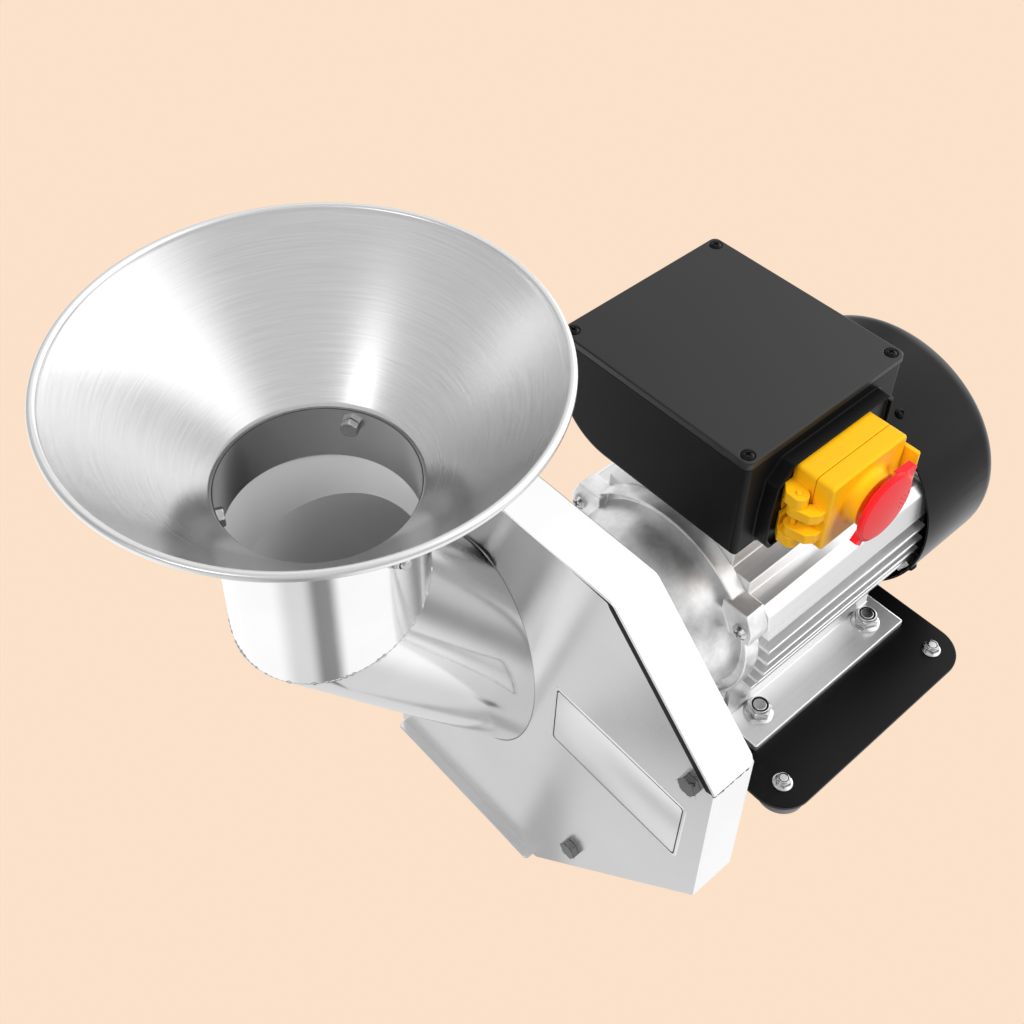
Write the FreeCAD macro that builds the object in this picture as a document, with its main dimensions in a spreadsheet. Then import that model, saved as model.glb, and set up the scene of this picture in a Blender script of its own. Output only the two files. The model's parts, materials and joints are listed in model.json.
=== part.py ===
import FreeCAD, Part
import math
import os
import re
import Sketcher
from FreeCAD import Rotation, Vector

# Electric fruit crusher. Millimetres, +Z up. The motor shaft runs along Y, the chamber is at -Y.
# The origin lies on the surface that the rubber feet stand on, below the middle of the motor's
# foot bolts.

SIZES = {
    # What the machine stands on
    "foot_height": 8.0,
    "foot_reach": 14.0,
    "foot_recess": 6.5,
    "foot_floor": 3.0,
    "foot_edge": 1.5,
    "foot_taper": 1.0,
    "base_thick": 3.0,
    "base_half_width": 116.5,
    "base_front": -89.5,
    "base_back": 84.0,
    "base_corner": 20.0,
    "stud_side": 100.2,
    "stud_front": -72.1,
    "stud_back": 67.0,
    # Fasteners: shank radius, width across flats, head height, pan head radius and height, and
    # the nut's flange radius and height, its height and its collar
    "m8_shank": 4.0,
    "m8_across": 13.0,
    "m8_head": 5.3,
    "m8_flange": 8.9,
    "m8_flange_high": 1.6,
    "m8_nut": 6.8,
    "m8_collar": 1.7,
    "m6_shank": 3.0,
    "m6_across": 10.0,
    "m6_head": 4.2,
    "m6_pan": 5.2,
    "m6_pan_high": 3.0,
    "m5_shank": 2.5,
    "m5_across": 8.0,
    "m5_head": 3.5,
    "m5_pan": 4.7,
    "m5_pan_high": 3.1,
    "m5_flange": 5.9,
    "m5_flange_high": 1.2,
    "m5_nut": 4.2,
    "m5_collar": 1.3,
    "m4_shank": 2.0,
    "m4_pan": 3.2,
    "m4_pan_high": 2.0,
    "m3_shank": 1.6,
    "m3_pan": 3.3,
    "m3_pan_high": 2.0,
    "head_chamfer": 1.2,
    "end_proud": 8.0,
    "hole_clearance": 0.25,
    "running_play": 0.05,
    "press_play": 0.01,
    "end_play": 0.3,
    "lap": 1.0,
    # Motor frame, an extrusion; heights are from the shaft
    "shaft_height": 80.0,
    "bolt_across": 125.0,
    "bolt_along": 100.0,
    "frame_half": 69.0,
    "barrel_reach": 60.0,
    "bore_reach": 55.0,
    "fin_reach": 72.5,
    "fin_pitch": 9.9,
    "fin_thick": 2.4,
    "fin_first": 8.9,
    "fin_count": 5,
    "rib_low": 18.1,
    "rib_low_side": 70.0,
    "rib_high": 34.6,
    "rib_high_side": 67.0,
    "shelf_low": 40.0,
    "shelf_low_side": 62.0,
    "shelf_high": 50.0,
    "shelf_high_side": 51.8,
    "pedestal_half": 38.8,
    "pedestal_wall": 8.0,
    "pedestal_back": 29.0,
    "wire_reach": 12.0,
    "web_side": 53.3,
    "web_thick": 4.0,
    "web_brace": 6.0,
    "web_back": 63.5,
    "web_top": 25.0,
    "lug_inner": 39.0,
    "lug_top": 42.0,
    "lug_low": 57.0,
    "rail_side": 77.5,
    "rail_thick": 5.0,
    "rail_half": 68.75,
    # Tie screws through both bells
    "tie_side": 60.6,
    "tie_height": 29.6,
    "tie_low_side": 45.0,
    "tie_low_height": 49.5,
    # Bells
    "bell_length": 76.0,
    "bell_reach": 65.5,
    "ring_depth": 10.5,
    "groove_outer": 64.0,
    "groove_depth": 4.0,
    "dome_reach": 58.0,
    "dome_lip": 1.0,
    "neck_reach": 48.0,
    "neck_length": 12.0,
    "flange_reach": 60.0,
    "flange_thick": 8.0,
    "flange_ring": 54.0,
    "bell_wall": 5.0,
    "bell_step": 8.0,
    "bell_cone": 14.0,
    "shaft_room": 3.0,
    "spigot_depth": 4.0,
    "ear_inner": 46.0,
    "ear_shoulder": 62.5,
    "ear_outer": 67.5,
    "ear_low": 22.0,
    "ear_middle": 31.0,
    "ear_high": 42.7,
    "ear_depth": 13.5,
    "low_ear_in": 8.0,
    "low_ear_out": 6.0,
    "low_ear_up": 10.0,
    "rear_bell_depth": 11.0,
    "rear_bevel": 6.0,
    "rear_rise": 2.0,
    "rear_boss_rise": 6.0,
    "rear_boss_wall": 4.0,
    "rear_seat_rise": 3.0,
    # Shaft line
    "shaft_reach": 10.0,
    "shaft_core_reach": 13.0,
    "shaft_rear_reach": 8.5,
    "shaft_tip_reach": 7.0,
    "shaft_tip": 5.0,
    "shaft_step": 4.0,
    "bearing_reach": 23.5,
    "bearing_width": 14.0,
    "bearing_set_back": 27.0,
    "rear_bearing_reach": 20.0,
    "rear_bearing_width": 12.0,
    "seal_reach": 17.5,
    "seal_width": 7.0,
    "core_half": 38.0,
    "rotor_reach": 29.0,
    "air_gap": 0.4,
    "winding_reach": 51.0,
    "winding_length": 16.0,
    "winding_round": 4.0,
    # Cowl and fan
    "cowl_reach": 77.6,
    "cowl_lap": 4.5,
    "cowl_depth": 72.0,
    "cowl_corner": 10.0,
    "cowl_wall": 1.2,
    "cowl_screw_back": 5.0,
    "cowl_screw_turn": 27.0,
    "cowl_boss_half": 6.0,
    "cowl_screw_length": 9.0,
    "fan_gap": 21.0,
    "fan_width": 28.0,
    "fan_reach": 66.0,
    "fan_hub": 14.0,
    "fan_web": 4.0,
    "vane_half": 1.2,
    "slot_half": 1.9,
    "slot_inner": 14.0,
    "slot_outer": 38.0,
    "slot_bridge": 5.0,
    "slot_rim": 62.0,
    # Chamber; heights are from the shaft
    "chamber_depth": 28.5,
    "sheet": 1.5,
    "side_reach": 121.0,
    "roof_half": 49.0,
    "roof_height": 117.0,
    "shoulder": 45.0,
    "waist": -50.0,
    "outlet_height": -170.0,
    "outlet_right": 8.5,
    "band_thick": 1.5,
    "band_proud": 0.5,
    "band_round": 5.0,
    "band_corner": 5.0,
    "plate_gap": 1.0,
    "lip_depth": 6.0,
    "lip_margin": 2.5,
    "post_reach": 5.0,
    "post_side": 108.0,
    "post_high": 41.0,
    "post_low": -118.0,
    "post_low_side": 37.0,
    "plate_bolt_grip": 12.0,
    # Cutter
    "disc_reach": 98.0,
    "disc_thick": 4.0,
    "disc_face": 9.0,
    "disc_hub": 8.0,
    "disc_hub_rise": 6.0,
    "disc_nut_across": 22.0,
    "disc_nut_high": 5.0,
    "window_gap": 1.0,
    "window_wide": 6.0,
    "blade_length": 62.0,
    "blade_start": 26.0,
    "blade_half": 7.0,
    "blade_thick": 2.0,
    "blade_height": 5.0,
    "blade_root": 3.0,
    "blade_screw_inset": 8.0,
    "blade_count": 4,
    "tooth_gap": 3.0,
    # Feed tubes and hopper
    "feed_side": -47.0,
    "feed_reach": 90.0,
    "tube_reach": 48.1,
    "tube_wall": 1.4,
    "tube_top": 276.0,
    "mitre_height": 206.9,
    "feed_slope": 54.0,
    "trim_room": 10.0,
    "weld_reach": 1.1,
    "hopper_play": 0.3,
    "hopper_wall": 1.0,
    "hopper_rim": 344.6,
    "rim_reach": 107.2,
    "bead_reach": 2.0,
    "neck_gap": 0.1,
    "hopper_spigot": 30.0,
    "hopper_bolt_drop": 9.0,
    "hopper_bolt_turn": 5.0,
    # Switch box; it stands level with the stop mushroom, which sits at switch height
    "mushroom_height": 209.0,
    "box_left": -76.5,
    "box_right": 52.0,
    "box_front": -90.5,
    "box_back": 29.1,
    "box_below": 30.5,
    "box_above": 36.2,
    "box_wall": 2.5,
    "box_round": 38.0,
    "box_corner": 4.0,
    "lid_thick": 4.5,
    "lid_proud": 0.4,
    "lid_round": 1.0,
    "lid_screw_inset": 5.2,
    "lid_post": 3.6,
    "lid_sink": 1.2,
    "lid_screw_length": 13.0,
    "boss_reach": 8.0,
    "boss_front": -76.2,
    "boss_back": 14.2,
    "boss_above": 25.0,
    "boss_foot": 0.2,
    "boss_low_corner": 7.0,
    "boss_high_corner": 5.0,
    "boss_slant": 12.0,
    "boss_slant_step": 2.0,
    "boss_slant_drop": 10.0,
    "boss_side_drop": 30.0,
    "boss_lip": 1.6,
    "boss_recess": 2.5,
    "gland_side": -12.0,
    "gland_below": 3.0,
    "gland_reach": 10.0,
    "gland_bore": 4.0,
    "gland_length": 17.0,
    "gland_nut": 5.0,
    "gland_collar": 4.5,
    "gland_neck": 2.2,
    "can_reach": 18.0,
    "can_length": 62.0,
    "can_cap": 6.0,
    "can_edge": 1.0,
    "block_side": -20.0,
    "block_line": 17.0,
    "block_half": 18.0,
    "block_depth": 8.0,
    "block_high": 14.0,
    "well_pitch": 12.0,
    "well_reach": 2.4,
    # Switch
    "switch_front": -60.5,
    "switch_back": -3.5,
    "switch_below": 22.5,
    "switch_above": 22.0,
    "switch_part": 70.5,
    "switch_wall": 2.2,
    "switch_floor": 2.0,
    "switch_ledge": 4.0,
    "switch_round": 2.5,
    "cover_round": 1.6,
    "cover_face": 81.3,
    "cover_gap": 0.3,
    "core_gap": 0.3,
    "core_face": 69.0,
    "core_back": 26.0,
    "well_depth": 14.0,
    "button_depth": 9.0,
    "start_proud": 3.0,
    "off_proud": 4.0,
    "button_half": 8.0,
    "button_web": 2.0,
    "button_tall": 9.0,
    "button_round": 1.0,
    "stop_travel": 3.5,
    "neck_face": 88.0,
    "collar_reach": 15.0,
    "collar_flare": 4.0,
    "stem_reach": 9.0,
    "mushroom_reach": 20.0,
    "mushroom_face": 96.0,
    "mushroom_edge": 1.8,
    "mushroom_dome": 0.8,
    "mushroom_line": -32.0,
    "toe_near": 1.5,
    "toe_far": 7.0,
    "toe_half": 5.0,
    "wing_back": 2.7,
    "wing_thick": 4.0,
    "wing_reach": 23.0,
    "wing_half": 3.0,
    "wing_turn": 226.0,
    "wedge_reach": 25.5,
    "wedge_half": 9.0,
    "wedge_turn": 38.0,
    "hinge_side": 66.5,
    "hinge_line": -66.3,
    "knuckle_reach": 4.6,
    "knuckle_tall": 7.0,
    "hinge_pin": 1.6,
    "pin_proud": 0.6,
    "hook_back": 9.0,
    "hook_thick": 3.0,
    "hook_out": 4.7,
    "hook_tall": 14.5,
    "hook_nose": 1.8,
    "catch_half": 13.5,
    "catch_thick": 2.6,
    "catch_below": 8.0,
    "catch_proud": 7.7,
    "catch_edge": 1.0,
    "tongue_half": 6.0,
    "tongue_thick": 3.0,
    "tongue_depth": 8.0,
}

# Places that follow from the sizes above
FOLLOWING = {
    "plate_face": "-frame_half - bell_length - chamber_depth",
    "bearing_front": "-frame_half - bell_length + bearing_set_back",
    "cowl_front": "frame_half - cowl_lap",
    "cowl_back": "frame_half - cowl_lap + cowl_depth",
    "cowl_screw_line": "frame_half + rear_bell_depth - cowl_screw_back",
    "fan_front": "frame_half + fan_gap",
    "feed_line": "-frame_half - bell_length - chamber_depth - feed_reach",
    "hopper_neck": "tube_top + neck_gap",
    "hopper_bolt_height": "tube_top - hopper_bolt_drop",
    "box_bottom": "mushroom_height - box_below",
    "box_top": "mushroom_height + box_above",
    "boss_top": "mushroom_height + boss_above",
    "gland_height": "mushroom_height - gland_below",
    "switch_low": "mushroom_height - switch_below",
    "switch_high": "mushroom_height + switch_above",
}
NAMES = set(SIZES) | set(FOLLOWING)

doc = FreeCAD.newDocument("fruit_crusher")
sheet = doc.addObject("Spreadsheet::Sheet", "Sizes")
for row, (alias, amount) in enumerate(SIZES.items(), start=1):
    sheet.set(f"A{row}", alias)
    sheet.set(f"B{row}", str(amount))
    sheet.setAlias(f"B{row}", alias)
for row, (alias, text) in enumerate(FOLLOWING.items(), start=len(SIZES) + 1):
    sheet.set(f"A{row}", alias)
    sheet.set(f"B{row}", "=" + text)
    sheet.setAlias(f"B{row}", alias)
doc.recompute()

nodes = []


# ---------------------------------------------------------------- drawing helpers


def bound(text):
    """Point each size in an expression at the sheet."""
    return re.sub(r"[a-z_][a-z0-9_]*", lambda word: "Sizes." + word[0] if word[0] in NAMES else word[0], text)


def number(text):
    """Work out an expression with the sheet's present sizes."""
    return float(sheet.evalExpression(text))


def place(item, x, y, z):
    """Bind where an object stands to the sheet."""
    for axis, text in zip("xyz", (x, y, z)):
        item.setExpression("Placement.Base." + axis, bound(text))


def turn(item, axis, angle):
    """Turn an object about a fixed axis by an angle from the sheet."""
    item.Placement.Rotation = Rotation(axis, number(angle))
    item.setExpression("Placement.Rotation.Angle", bound(angle))


def body(label, x="0", y="0", z="0", keep=True):
    """Start a body at a place; a kept body becomes a node of its own."""
    piece = doc.addObject("PartDesign::Body", label)
    piece.Label = label
    place(piece, x, y, z)
    if keep:
        nodes.append(piece)
    return piece


def sketch(piece, plane, lift="0"):
    """Attach an empty sketch to one of the piece's own origin planes."""
    flat = next(item for item in piece.Origin.OriginFeatures if item.Role == plane + "_Plane")
    drawing = piece.newObject("Sketcher::SketchObject", piece.Name + "_sketch")
    drawing.AttachmentSupport = [(flat, "")]
    drawing.MapMode = "FlatFace"
    drawing.setExpression("AttachmentOffset.Base.z", bound(lift))
    return drawing


def bend(start, end, radius):
    """The arc between two corners; a positive radius turns left on the way."""
    chord = end - start
    left = Vector(-chord.y, chord.x, 0).normalize()
    rise = math.sqrt(max(radius * radius - chord.Length ** 2 / 4, 0))
    centre = (start + end) * 0.5 + left * math.copysign(rise, radius)
    ends = [start - centre, end - centre]
    if radius < 0:
        ends.reverse()
    first, last = (math.atan2(end_.y, end_.x) for end_ in ends)
    if last < first:
        last += 2 * math.pi
    return Part.ArcOfCircle(Part.Circle(centre, Vector(0, 0, 1), abs(radius)), first, last)


def loop(drawing, corners):
    """Draw a closed outline; a corner's third value is the radius of the arc that leaves it."""
    spots = [Vector(number(corner[0]), number(corner[1]), 0) for corner in corners]
    first = drawing.GeometryCount
    tips = []
    for index, corner in enumerate(corners):
        start = spots[index]
        end = spots[(index + 1) % len(spots)]
        if len(corner) > 2:
            radius = number(corner[2])
            drawing.addGeometry(bend(start, end, radius), False)
            tips.append((1, 2) if radius > 0 else (2, 1))
        else:
            drawing.addGeometry(Part.LineSegment(start, end), False)
            tips.append((1, 2))
    rules = []
    texts = []
    for index, corner in enumerate(corners):
        edge = first + index
        after = (index + 1) % len(corners)
        rules.append(Sketcher.Constraint("Coincident", edge, tips[index][1], first + after, tips[after][0]))
        texts.append(None)
        rules.append(Sketcher.Constraint("DistanceX", -1, 1, edge, tips[index][0], spots[index].x))
        texts.append(corner[0])
        rules.append(Sketcher.Constraint("DistanceY", -1, 1, edge, tips[index][0], spots[index].y))
        texts.append(corner[1])
        if len(corner) > 2:
            rules.append(Sketcher.Constraint("Radius", edge, abs(number(corner[2]))))
            texts.append("abs(" + corner[2] + ")")
    bind(drawing, rules, texts)


def circle(drawing, x, y, radius):
    """Draw a circle with a bound centre and radius."""
    centre = Vector(number(x), number(y), 0)
    edge = drawing.addGeometry(Part.Circle(centre, Vector(0, 0, 1), number(radius)), False)
    rules = [
        Sketcher.Constraint("DistanceX", -1, 1, edge, 3, centre.x),
        Sketcher.Constraint("DistanceY", -1, 1, edge, 3, centre.y),
        Sketcher.Constraint("Radius", edge, number(radius)),
    ]
    bind(drawing, rules, [x, y, radius])


def bind(drawing, rules, texts):
    """Add constraints and bind each that has an expression."""
    added = drawing.addConstraint(rules)
    for index, text in zip(added, texts):
        if text is not None:
            drawing.setExpression(f"Constraints[{index}]", bound(text))


def box_loop(drawing, left, right, low, high):
    """Draw a rectangle between four bound sides."""
    loop(drawing, [(left, low), (right, low), (right, high), (left, high)])


# ---------------------------------------------------------------- feature helpers


def pad(piece, drawing, length, back=False, middle=False):
    """Extrude a sketch along its plane's normal, against it, or both ways from the middle."""
    feature = piece.newObject("PartDesign::Pad", piece.Name + "_pad")
    feature.Profile = drawing
    feature.setExpression("Length", bound(length))
    feature.Reversed = back
    if middle:
        feature.SideType = "Symmetric"
    doc.recompute()
    return feature


def cut(piece, kind, drawing):
    """Add a cutting feature and make sure that it removes something."""
    before = piece.Tip.Shape.Volume
    feature = piece.newObject("PartDesign::" + kind, piece.Name + "_cut")
    feature.Profile = drawing
    return feature, before


def sure(piece, before):
    """Stop when a cut has removed nothing."""
    doc.recompute()
    if not piece.Tip.Shape.Volume < before - 1e-6:
        raise RuntimeError(piece.Label + ": a cut removes nothing")


def pocket(piece, drawing, length=None, back=False):
    """Cut a sketch through everything, or to a depth against the plane's normal."""
    feature, before = cut(piece, "Pocket", drawing)
    if length is None:
        feature.Type = "ThroughAll"
        feature.SideType = "Symmetric"
    else:
        feature.setExpression("Length", bound(length))
        feature.Reversed = back
    sure(piece, before)
    return feature


def revolve(piece, drawing, axis):
    """Turn a sketch a full circle about its horizontal (H) or vertical (V) axis."""
    feature = piece.newObject("PartDesign::Revolution", piece.Name + "_turned")
    feature.Profile = drawing
    feature.ReferenceAxis = (drawing, [axis + "_Axis"])
    feature.Angle = 360
    doc.recompute()
    return feature


def groove(piece, drawing, axis):
    """Turn a cut a full circle about the sketch's horizontal (H) or vertical (V) axis."""
    feature, before = cut(piece, "Groove", drawing)
    feature.ReferenceAxis = (drawing, [axis + "_Axis"])
    feature.Angle = 360
    sure(piece, before)
    return feature


def around(piece, feature, axis, count):
    """Repeat a feature evenly around one of the piece's own axes."""
    pattern = piece.newObject("PartDesign::PolarPattern", piece.Name + "_around")
    pattern.Originals = [feature]
    line = next(item for item in piece.Origin.OriginFeatures if item.Role == axis + "_Axis")
    pattern.Axis = (line, [""])
    pattern.Angle = 360
    pattern.setExpression("Occurrences", bound(count))
    piece.Tip = pattern
    doc.recompute()
    return pattern


def soften(piece, kind, size, test):
    """Fillet or chamfer the edges of the last feature whose middle and direction pass a test."""
    base = piece.Tip
    names = []
    for index, edge in enumerate(base.Shape.Edges, start=1):
        middle = edge.valueAt((edge.FirstParameter + edge.LastParameter) / 2)
        along = edge.tangentAt((edge.FirstParameter + edge.LastParameter) / 2)
        if test(middle, along, edge):
            names.append(f"Edge{index}")
    feature = piece.newObject("PartDesign::" + kind, piece.Name + "_soft")
    feature.Base = (base, names)
    feature.setExpression("Radius" if kind == "Fillet" else "Size", bound(size))
    doc.recompute()
    return feature


def near(value, text):
    """Whether a length is at a bound place."""
    return abs(value - number(text)) < 1e-3


def group(label, piece, spots, axis=None, angles=None):
    """Put copies of one piece at several places, as separate solids of one node."""
    copies = []
    for index, spot in enumerate(spots):
        copy = doc.addObject("App::Link", f"{label}_{index + 1}")
        copy.LinkedObject = piece
        place(copy, *spot)
        if axis:
            turn(copy, axis, angles[index])
        copies.append(copy)
    together = doc.addObject("Part::Compound", label)
    together.Label = label
    together.Links = copies
    nodes.append(together)
    return together


# ---------------------------------------------------------------- fasteners


def hexagon(drawing, across):
    """Draw a hexagon about the origin by its width across flats."""
    corners = []
    for step in range(6):
        corners.append((f"({across}) / 2 / cos(30) * cos({60 * step})", f"({across}) / 2 / cos(30) * sin({60 * step})"))
    loop(drawing, corners)


def hex_bolt(label, size, length):
    """A hexagon bolt of a size such as m8: the head above its seat at the origin, the shank below."""
    piece = body(label, keep=False)
    outline = sketch(piece, "XY")
    hexagon(outline, f"{size}_across")
    pad(piece, outline, f"{size}_head")
    crown = sketch(piece, "XZ")
    corner = f"{size}_across / 2 + 1.5 * head_chamfer"
    loop(crown, [(f"{size}_across / 2", f"{size}_head"), (corner, f"{size}_head"),
                 (corner, f"{size}_head - head_chamfer")])
    groove(piece, crown, "V")
    stem = sketch(piece, "XY")
    circle(stem, "0", "0", f"{size}_shank")
    pad(piece, stem, length, back=True)
    return piece


def pan_screw(label, size, length):
    """A cross-recessed pan screw of a size such as m5: the head above its seat, the shank below."""
    piece = body(label, keep=False)
    shank, head, height = f"{size}_shank", f"{size}_pan", f"{size}_pan_high"
    profile = sketch(piece, "XZ")
    loop(profile, [
        ("0", f"-({length})"),
        (shank, f"-({length})"),
        (shank, "0"),
        (head, "0"),
        (head, f"{height} * 0.45"),
        (f"{head} * 0.62", height),
        ("0", height),
    ])
    revolve(piece, profile, "V")
    cross = sketch(piece, "XY", height)
    arm = f"{head} * 0.5"
    half = f"{head} * 0.13"
    loop(cross, [
        (arm, f"-{half}"), (arm, half), (half, half), (half, arm), (f"-{half}", arm), (f"-{half}", half),
        (f"-{arm}", half), (f"-{arm}", f"-{half}"), (f"-{half}", f"-{half}"), (f"-{half}", f"-{arm}"),
        (half, f"-{arm}"), (half, f"-{half}"),
    ])
    pocket(piece, cross, f"{height} * 0.5")
    return piece


def flange_nut(label, size):
    """A flanged lock nut on its seat at the origin, with the raised collar of its insert."""
    piece = body(label, keep=False)
    washer = sketch(piece, "XY")
    circle(washer, "0", "0", f"{size}_flange")
    pad(piece, washer, f"{size}_flange_high")
    outline = sketch(piece, "XY")
    hexagon(outline, f"{size}_across")
    pad(piece, outline, f"{size}_nut")
    ring = sketch(piece, "XY")
    circle(ring, "0", "0", f"{size}_across / 2 - end_play")
    pad(piece, ring, f"{size}_nut + {size}_collar")
    hole = sketch(piece, "XY")
    circle(hole, "0", "0", f"{size}_shank + running_play")
    pocket(piece, hole)
    return piece


AXIS = "foot_height + base_thick + shaft_height"
DECK = "foot_height + base_thick"
ALONG_X = Vector(1, 0, 0)
ALONG_Y = Vector(0, 1, 0)
ALONG_Z = Vector(0, 0, 1)
COWL_TURNS = ("-cowl_screw_turn", "180 + cowl_screw_turn", "90 - cowl_screw_turn", "90 + cowl_screw_turn")


# ---------------------------------------------------------------- base


def make_base():
    """The steel base plate, its rubber feet and all that fastens them."""
    plate = body("base_plate", z="foot_height")
    outline = sketch(plate, "XY")
    box_loop(outline, "-base_half_width", "base_half_width", "base_front", "base_back")
    pad(plate, outline, "base_thick")
    soften(plate, "Fillet", "base_corner", lambda middle, along, edge: abs(along.z) > 0.9)
    holes = sketch(plate, "XY")
    for side in ("", "-"):
        for line in ("stud_front", "stud_back"):
            circle(holes, f"{side}stud_side", line, "m5_shank + hole_clearance")
        for end in ("", "-"):
            circle(holes, f"{side}bolt_across / 2", f"{end}bolt_along / 2", "m8_shank + hole_clearance")
    pocket(plate, holes)

    foot = body("foot_shape", keep=False)
    profile = sketch(foot, "XZ")
    loop(profile, [
        ("foot_recess", "0"),
        ("foot_reach - foot_edge", "0"),
        ("foot_reach", "foot_edge"),
        ("foot_reach - foot_taper", "foot_height"),
        ("m5_shank + hole_clearance", "foot_height"),
        ("m5_shank + hole_clearance", "foot_height - foot_floor"),
        ("foot_recess", "foot_height - foot_floor"),
    ])
    revolve(foot, profile, "V")
    spots = [(f"{side}stud_side", line) for side in ("", "-") for line in ("stud_front", "stud_back")]
    group("rubber_feet", foot, [(x, y, "0") for x, y in spots])

    screw = pan_screw("foot_screw_shape", "m5", "foot_floor + base_thick + m5_nut + m5_collar")
    group("foot_screws", screw, [(x, y, "foot_height - foot_floor") for x, y in spots], ALONG_X, ["180"] * 4)
    nut = flange_nut("foot_nut_shape", "m5")
    group("foot_nuts", nut, [(x, y, DECK) for x, y in spots])

    bolt = hex_bolt("motor_bolt_shape", "m8", "base_thick + rail_thick + m8_nut + m8_collar")
    ends = [(f"{side}bolt_across / 2", f"{end}bolt_along / 2") for side in ("", "-") for end in ("", "-")]
    group("motor_bolts", bolt, [(x, y, "foot_height") for x, y in ends], ALONG_X, ["180"] * 4)
    cap = flange_nut("motor_nut_shape", "m8")
    group("motor_nuts", cap, [(x, y, f"{DECK} + rail_thick") for x, y in ends])


# ---------------------------------------------------------------- motor


def frame_outline():
    """The right half of the extrusion, from the top flat round to the lowest fin's root."""
    corners = [
        ("shelf_high_side", "shelf_high"),
        ("shelf_high_side", "shelf_low"),
        ("shelf_low_side", "shelf_low"),
        ("rib_high_side", "rib_high"),
        ("rib_low_side", "rib_low"),
        ("sqrt(barrel_reach^2 - rib_low^2)", "rib_low"),
    ]
    for step in range(int(number("fin_count"))):
        middle = f"(fin_first - {step} * fin_pitch)"
        for edge, side in (("+", (True, False)), ("-", (False, True))):
            height = f"{middle} {edge} fin_thick / 2"
            root = (f"sqrt(barrel_reach^2 - ({height})^2)", height)
            tip = (f"sqrt(fin_reach^2 - {middle}^2)", height)
            corners.extend([root, tip] if side[0] else [tip, root])
    return corners


def make_frame():
    """The finned motor frame: one extruded section with its pedestal, webs and foot rails."""
    frame = body("motor_frame", z=AXIS)
    section = sketch(frame, "XZ")
    right = frame_outline()
    left = [(f"-{x}", z) for x, z in reversed(right)]
    last = right[-1]
    right[-1] = (last[0], last[1], "-barrel_reach")
    loop(section, right + left)
    pad(frame, section, "2 * frame_half", middle=True)

    webs = sketch(frame, "XZ", "-(web_back - rail_half) / 2")
    low = "-shaft_height + rail_thick / 2"
    for side in ("", "-"):
        loop(webs, [
            (f"{side}web_side", "-web_top"),
            (f"{side}web_side", low),
            (f"{side}(web_side - web_thick)", low),
            (f"{side}(web_side - web_thick)", "-lug_low"),
            (f"{side}lug_inner", "-lug_low"),
            (f"{side}lug_inner", "-lug_top"),
            (f"{side}(web_side - web_brace)", "-web_top"),
        ])
    pad(frame, webs, "web_back + rail_half", middle=True)

    rails = sketch(frame, "XZ")
    for side in ("", "-"):
        box_loop(rails, f"{side}(web_side - web_thick)", f"{side}rail_side", "-shaft_height",
                 "-shaft_height + rail_thick")
    pad(frame, rails, "2 * rail_half", middle=True)

    pedestal = sketch(frame, "XY", "shelf_high - lap")
    box_loop(pedestal, "-pedestal_half", "pedestal_half", "-frame_half", "pedestal_back")
    pad(frame, pedestal, f"box_bottom - ({AXIS}) - shelf_high + lap")
    well = sketch(frame, "XY", f"box_bottom - ({AXIS})")
    box_loop(well, "-pedestal_half + pedestal_wall", "pedestal_half - pedestal_wall",
             "-frame_half + pedestal_wall", "pedestal_back - pedestal_wall")
    pocket(frame, well, f"box_bottom - ({AXIS}) - shelf_high")
    wire_hole = sketch(frame, "XY", f"box_bottom - ({AXIS})")
    circle(wire_hole, "0", "0", "wire_reach")
    pocket(frame, wire_hole, f"box_bottom - ({AXIS})")

    bore = sketch(frame, "XZ")
    circle(bore, "0", "0", "bore_reach")
    pocket(frame, bore)
    ties = sketch(frame, "XZ")
    for side in ("", "-"):
        circle(ties, f"{side}tie_side", "tie_height", "m5_shank + hole_clearance")
        circle(ties, f"{side}tie_low_side", "-tie_low_height", "m5_shank + hole_clearance")
    pocket(frame, ties)
    feet = sketch(frame, "XY", "-shaft_height")
    for side in ("", "-"):
        for end in ("", "-"):
            circle(feet, f"{side}bolt_across / 2", f"{end}bolt_along / 2", "m8_shank + hole_clearance")
    pocket(frame, feet, "rail_thick + lap", back=True)


def drilled(label, blank, drills):
    """Drill a blank with several tools at once and keep it as a node."""
    tool = doc.addObject("Part::Compound", f"{label}_drills")
    tool.Links = drills
    piece = doc.addObject("Part::Cut", label)
    piece.Label = label
    piece.Base = blank
    piece.Tool = tool
    nodes.append(piece)


def bell_ears(bell, depth, back):
    """Add the four screw ears to a bell, and drill them."""
    ears = sketch(bell, "XZ")
    for side in ("", "-"):
        loop(ears, [
            (f"{side}ear_inner", "ear_low"),
            (f"{side}(ear_outer - lap)", "ear_low"),
            (f"{side}ear_outer", "ear_middle"),
            (f"{side}ear_shoulder", "ear_high"),
            (f"{side}ear_inner", "ear_high"),
        ])
        loop(ears, [
            (f"{side}(tie_low_side - low_ear_in)", "-tie_low_height - low_ear_out"),
            (f"{side}(tie_low_side + low_ear_out)", "-tie_low_height - low_ear_out"),
            (f"{side}(tie_low_side + low_ear_out)", "-tie_low_height + low_ear_up"),
            (f"{side}(tie_low_side - low_ear_in)", "-tie_low_height + low_ear_up"),
        ])
    pad(bell, ears, depth, back=back)
    holes = sketch(bell, "XZ")
    for side in ("", "-"):
        circle(holes, f"{side}tie_side", "tie_height", "m5_shank + hole_clearance")
        circle(holes, f"{side}tie_low_side", "-tie_low_height", "m5_shank + hole_clearance")
    pocket(bell, holes)


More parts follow.
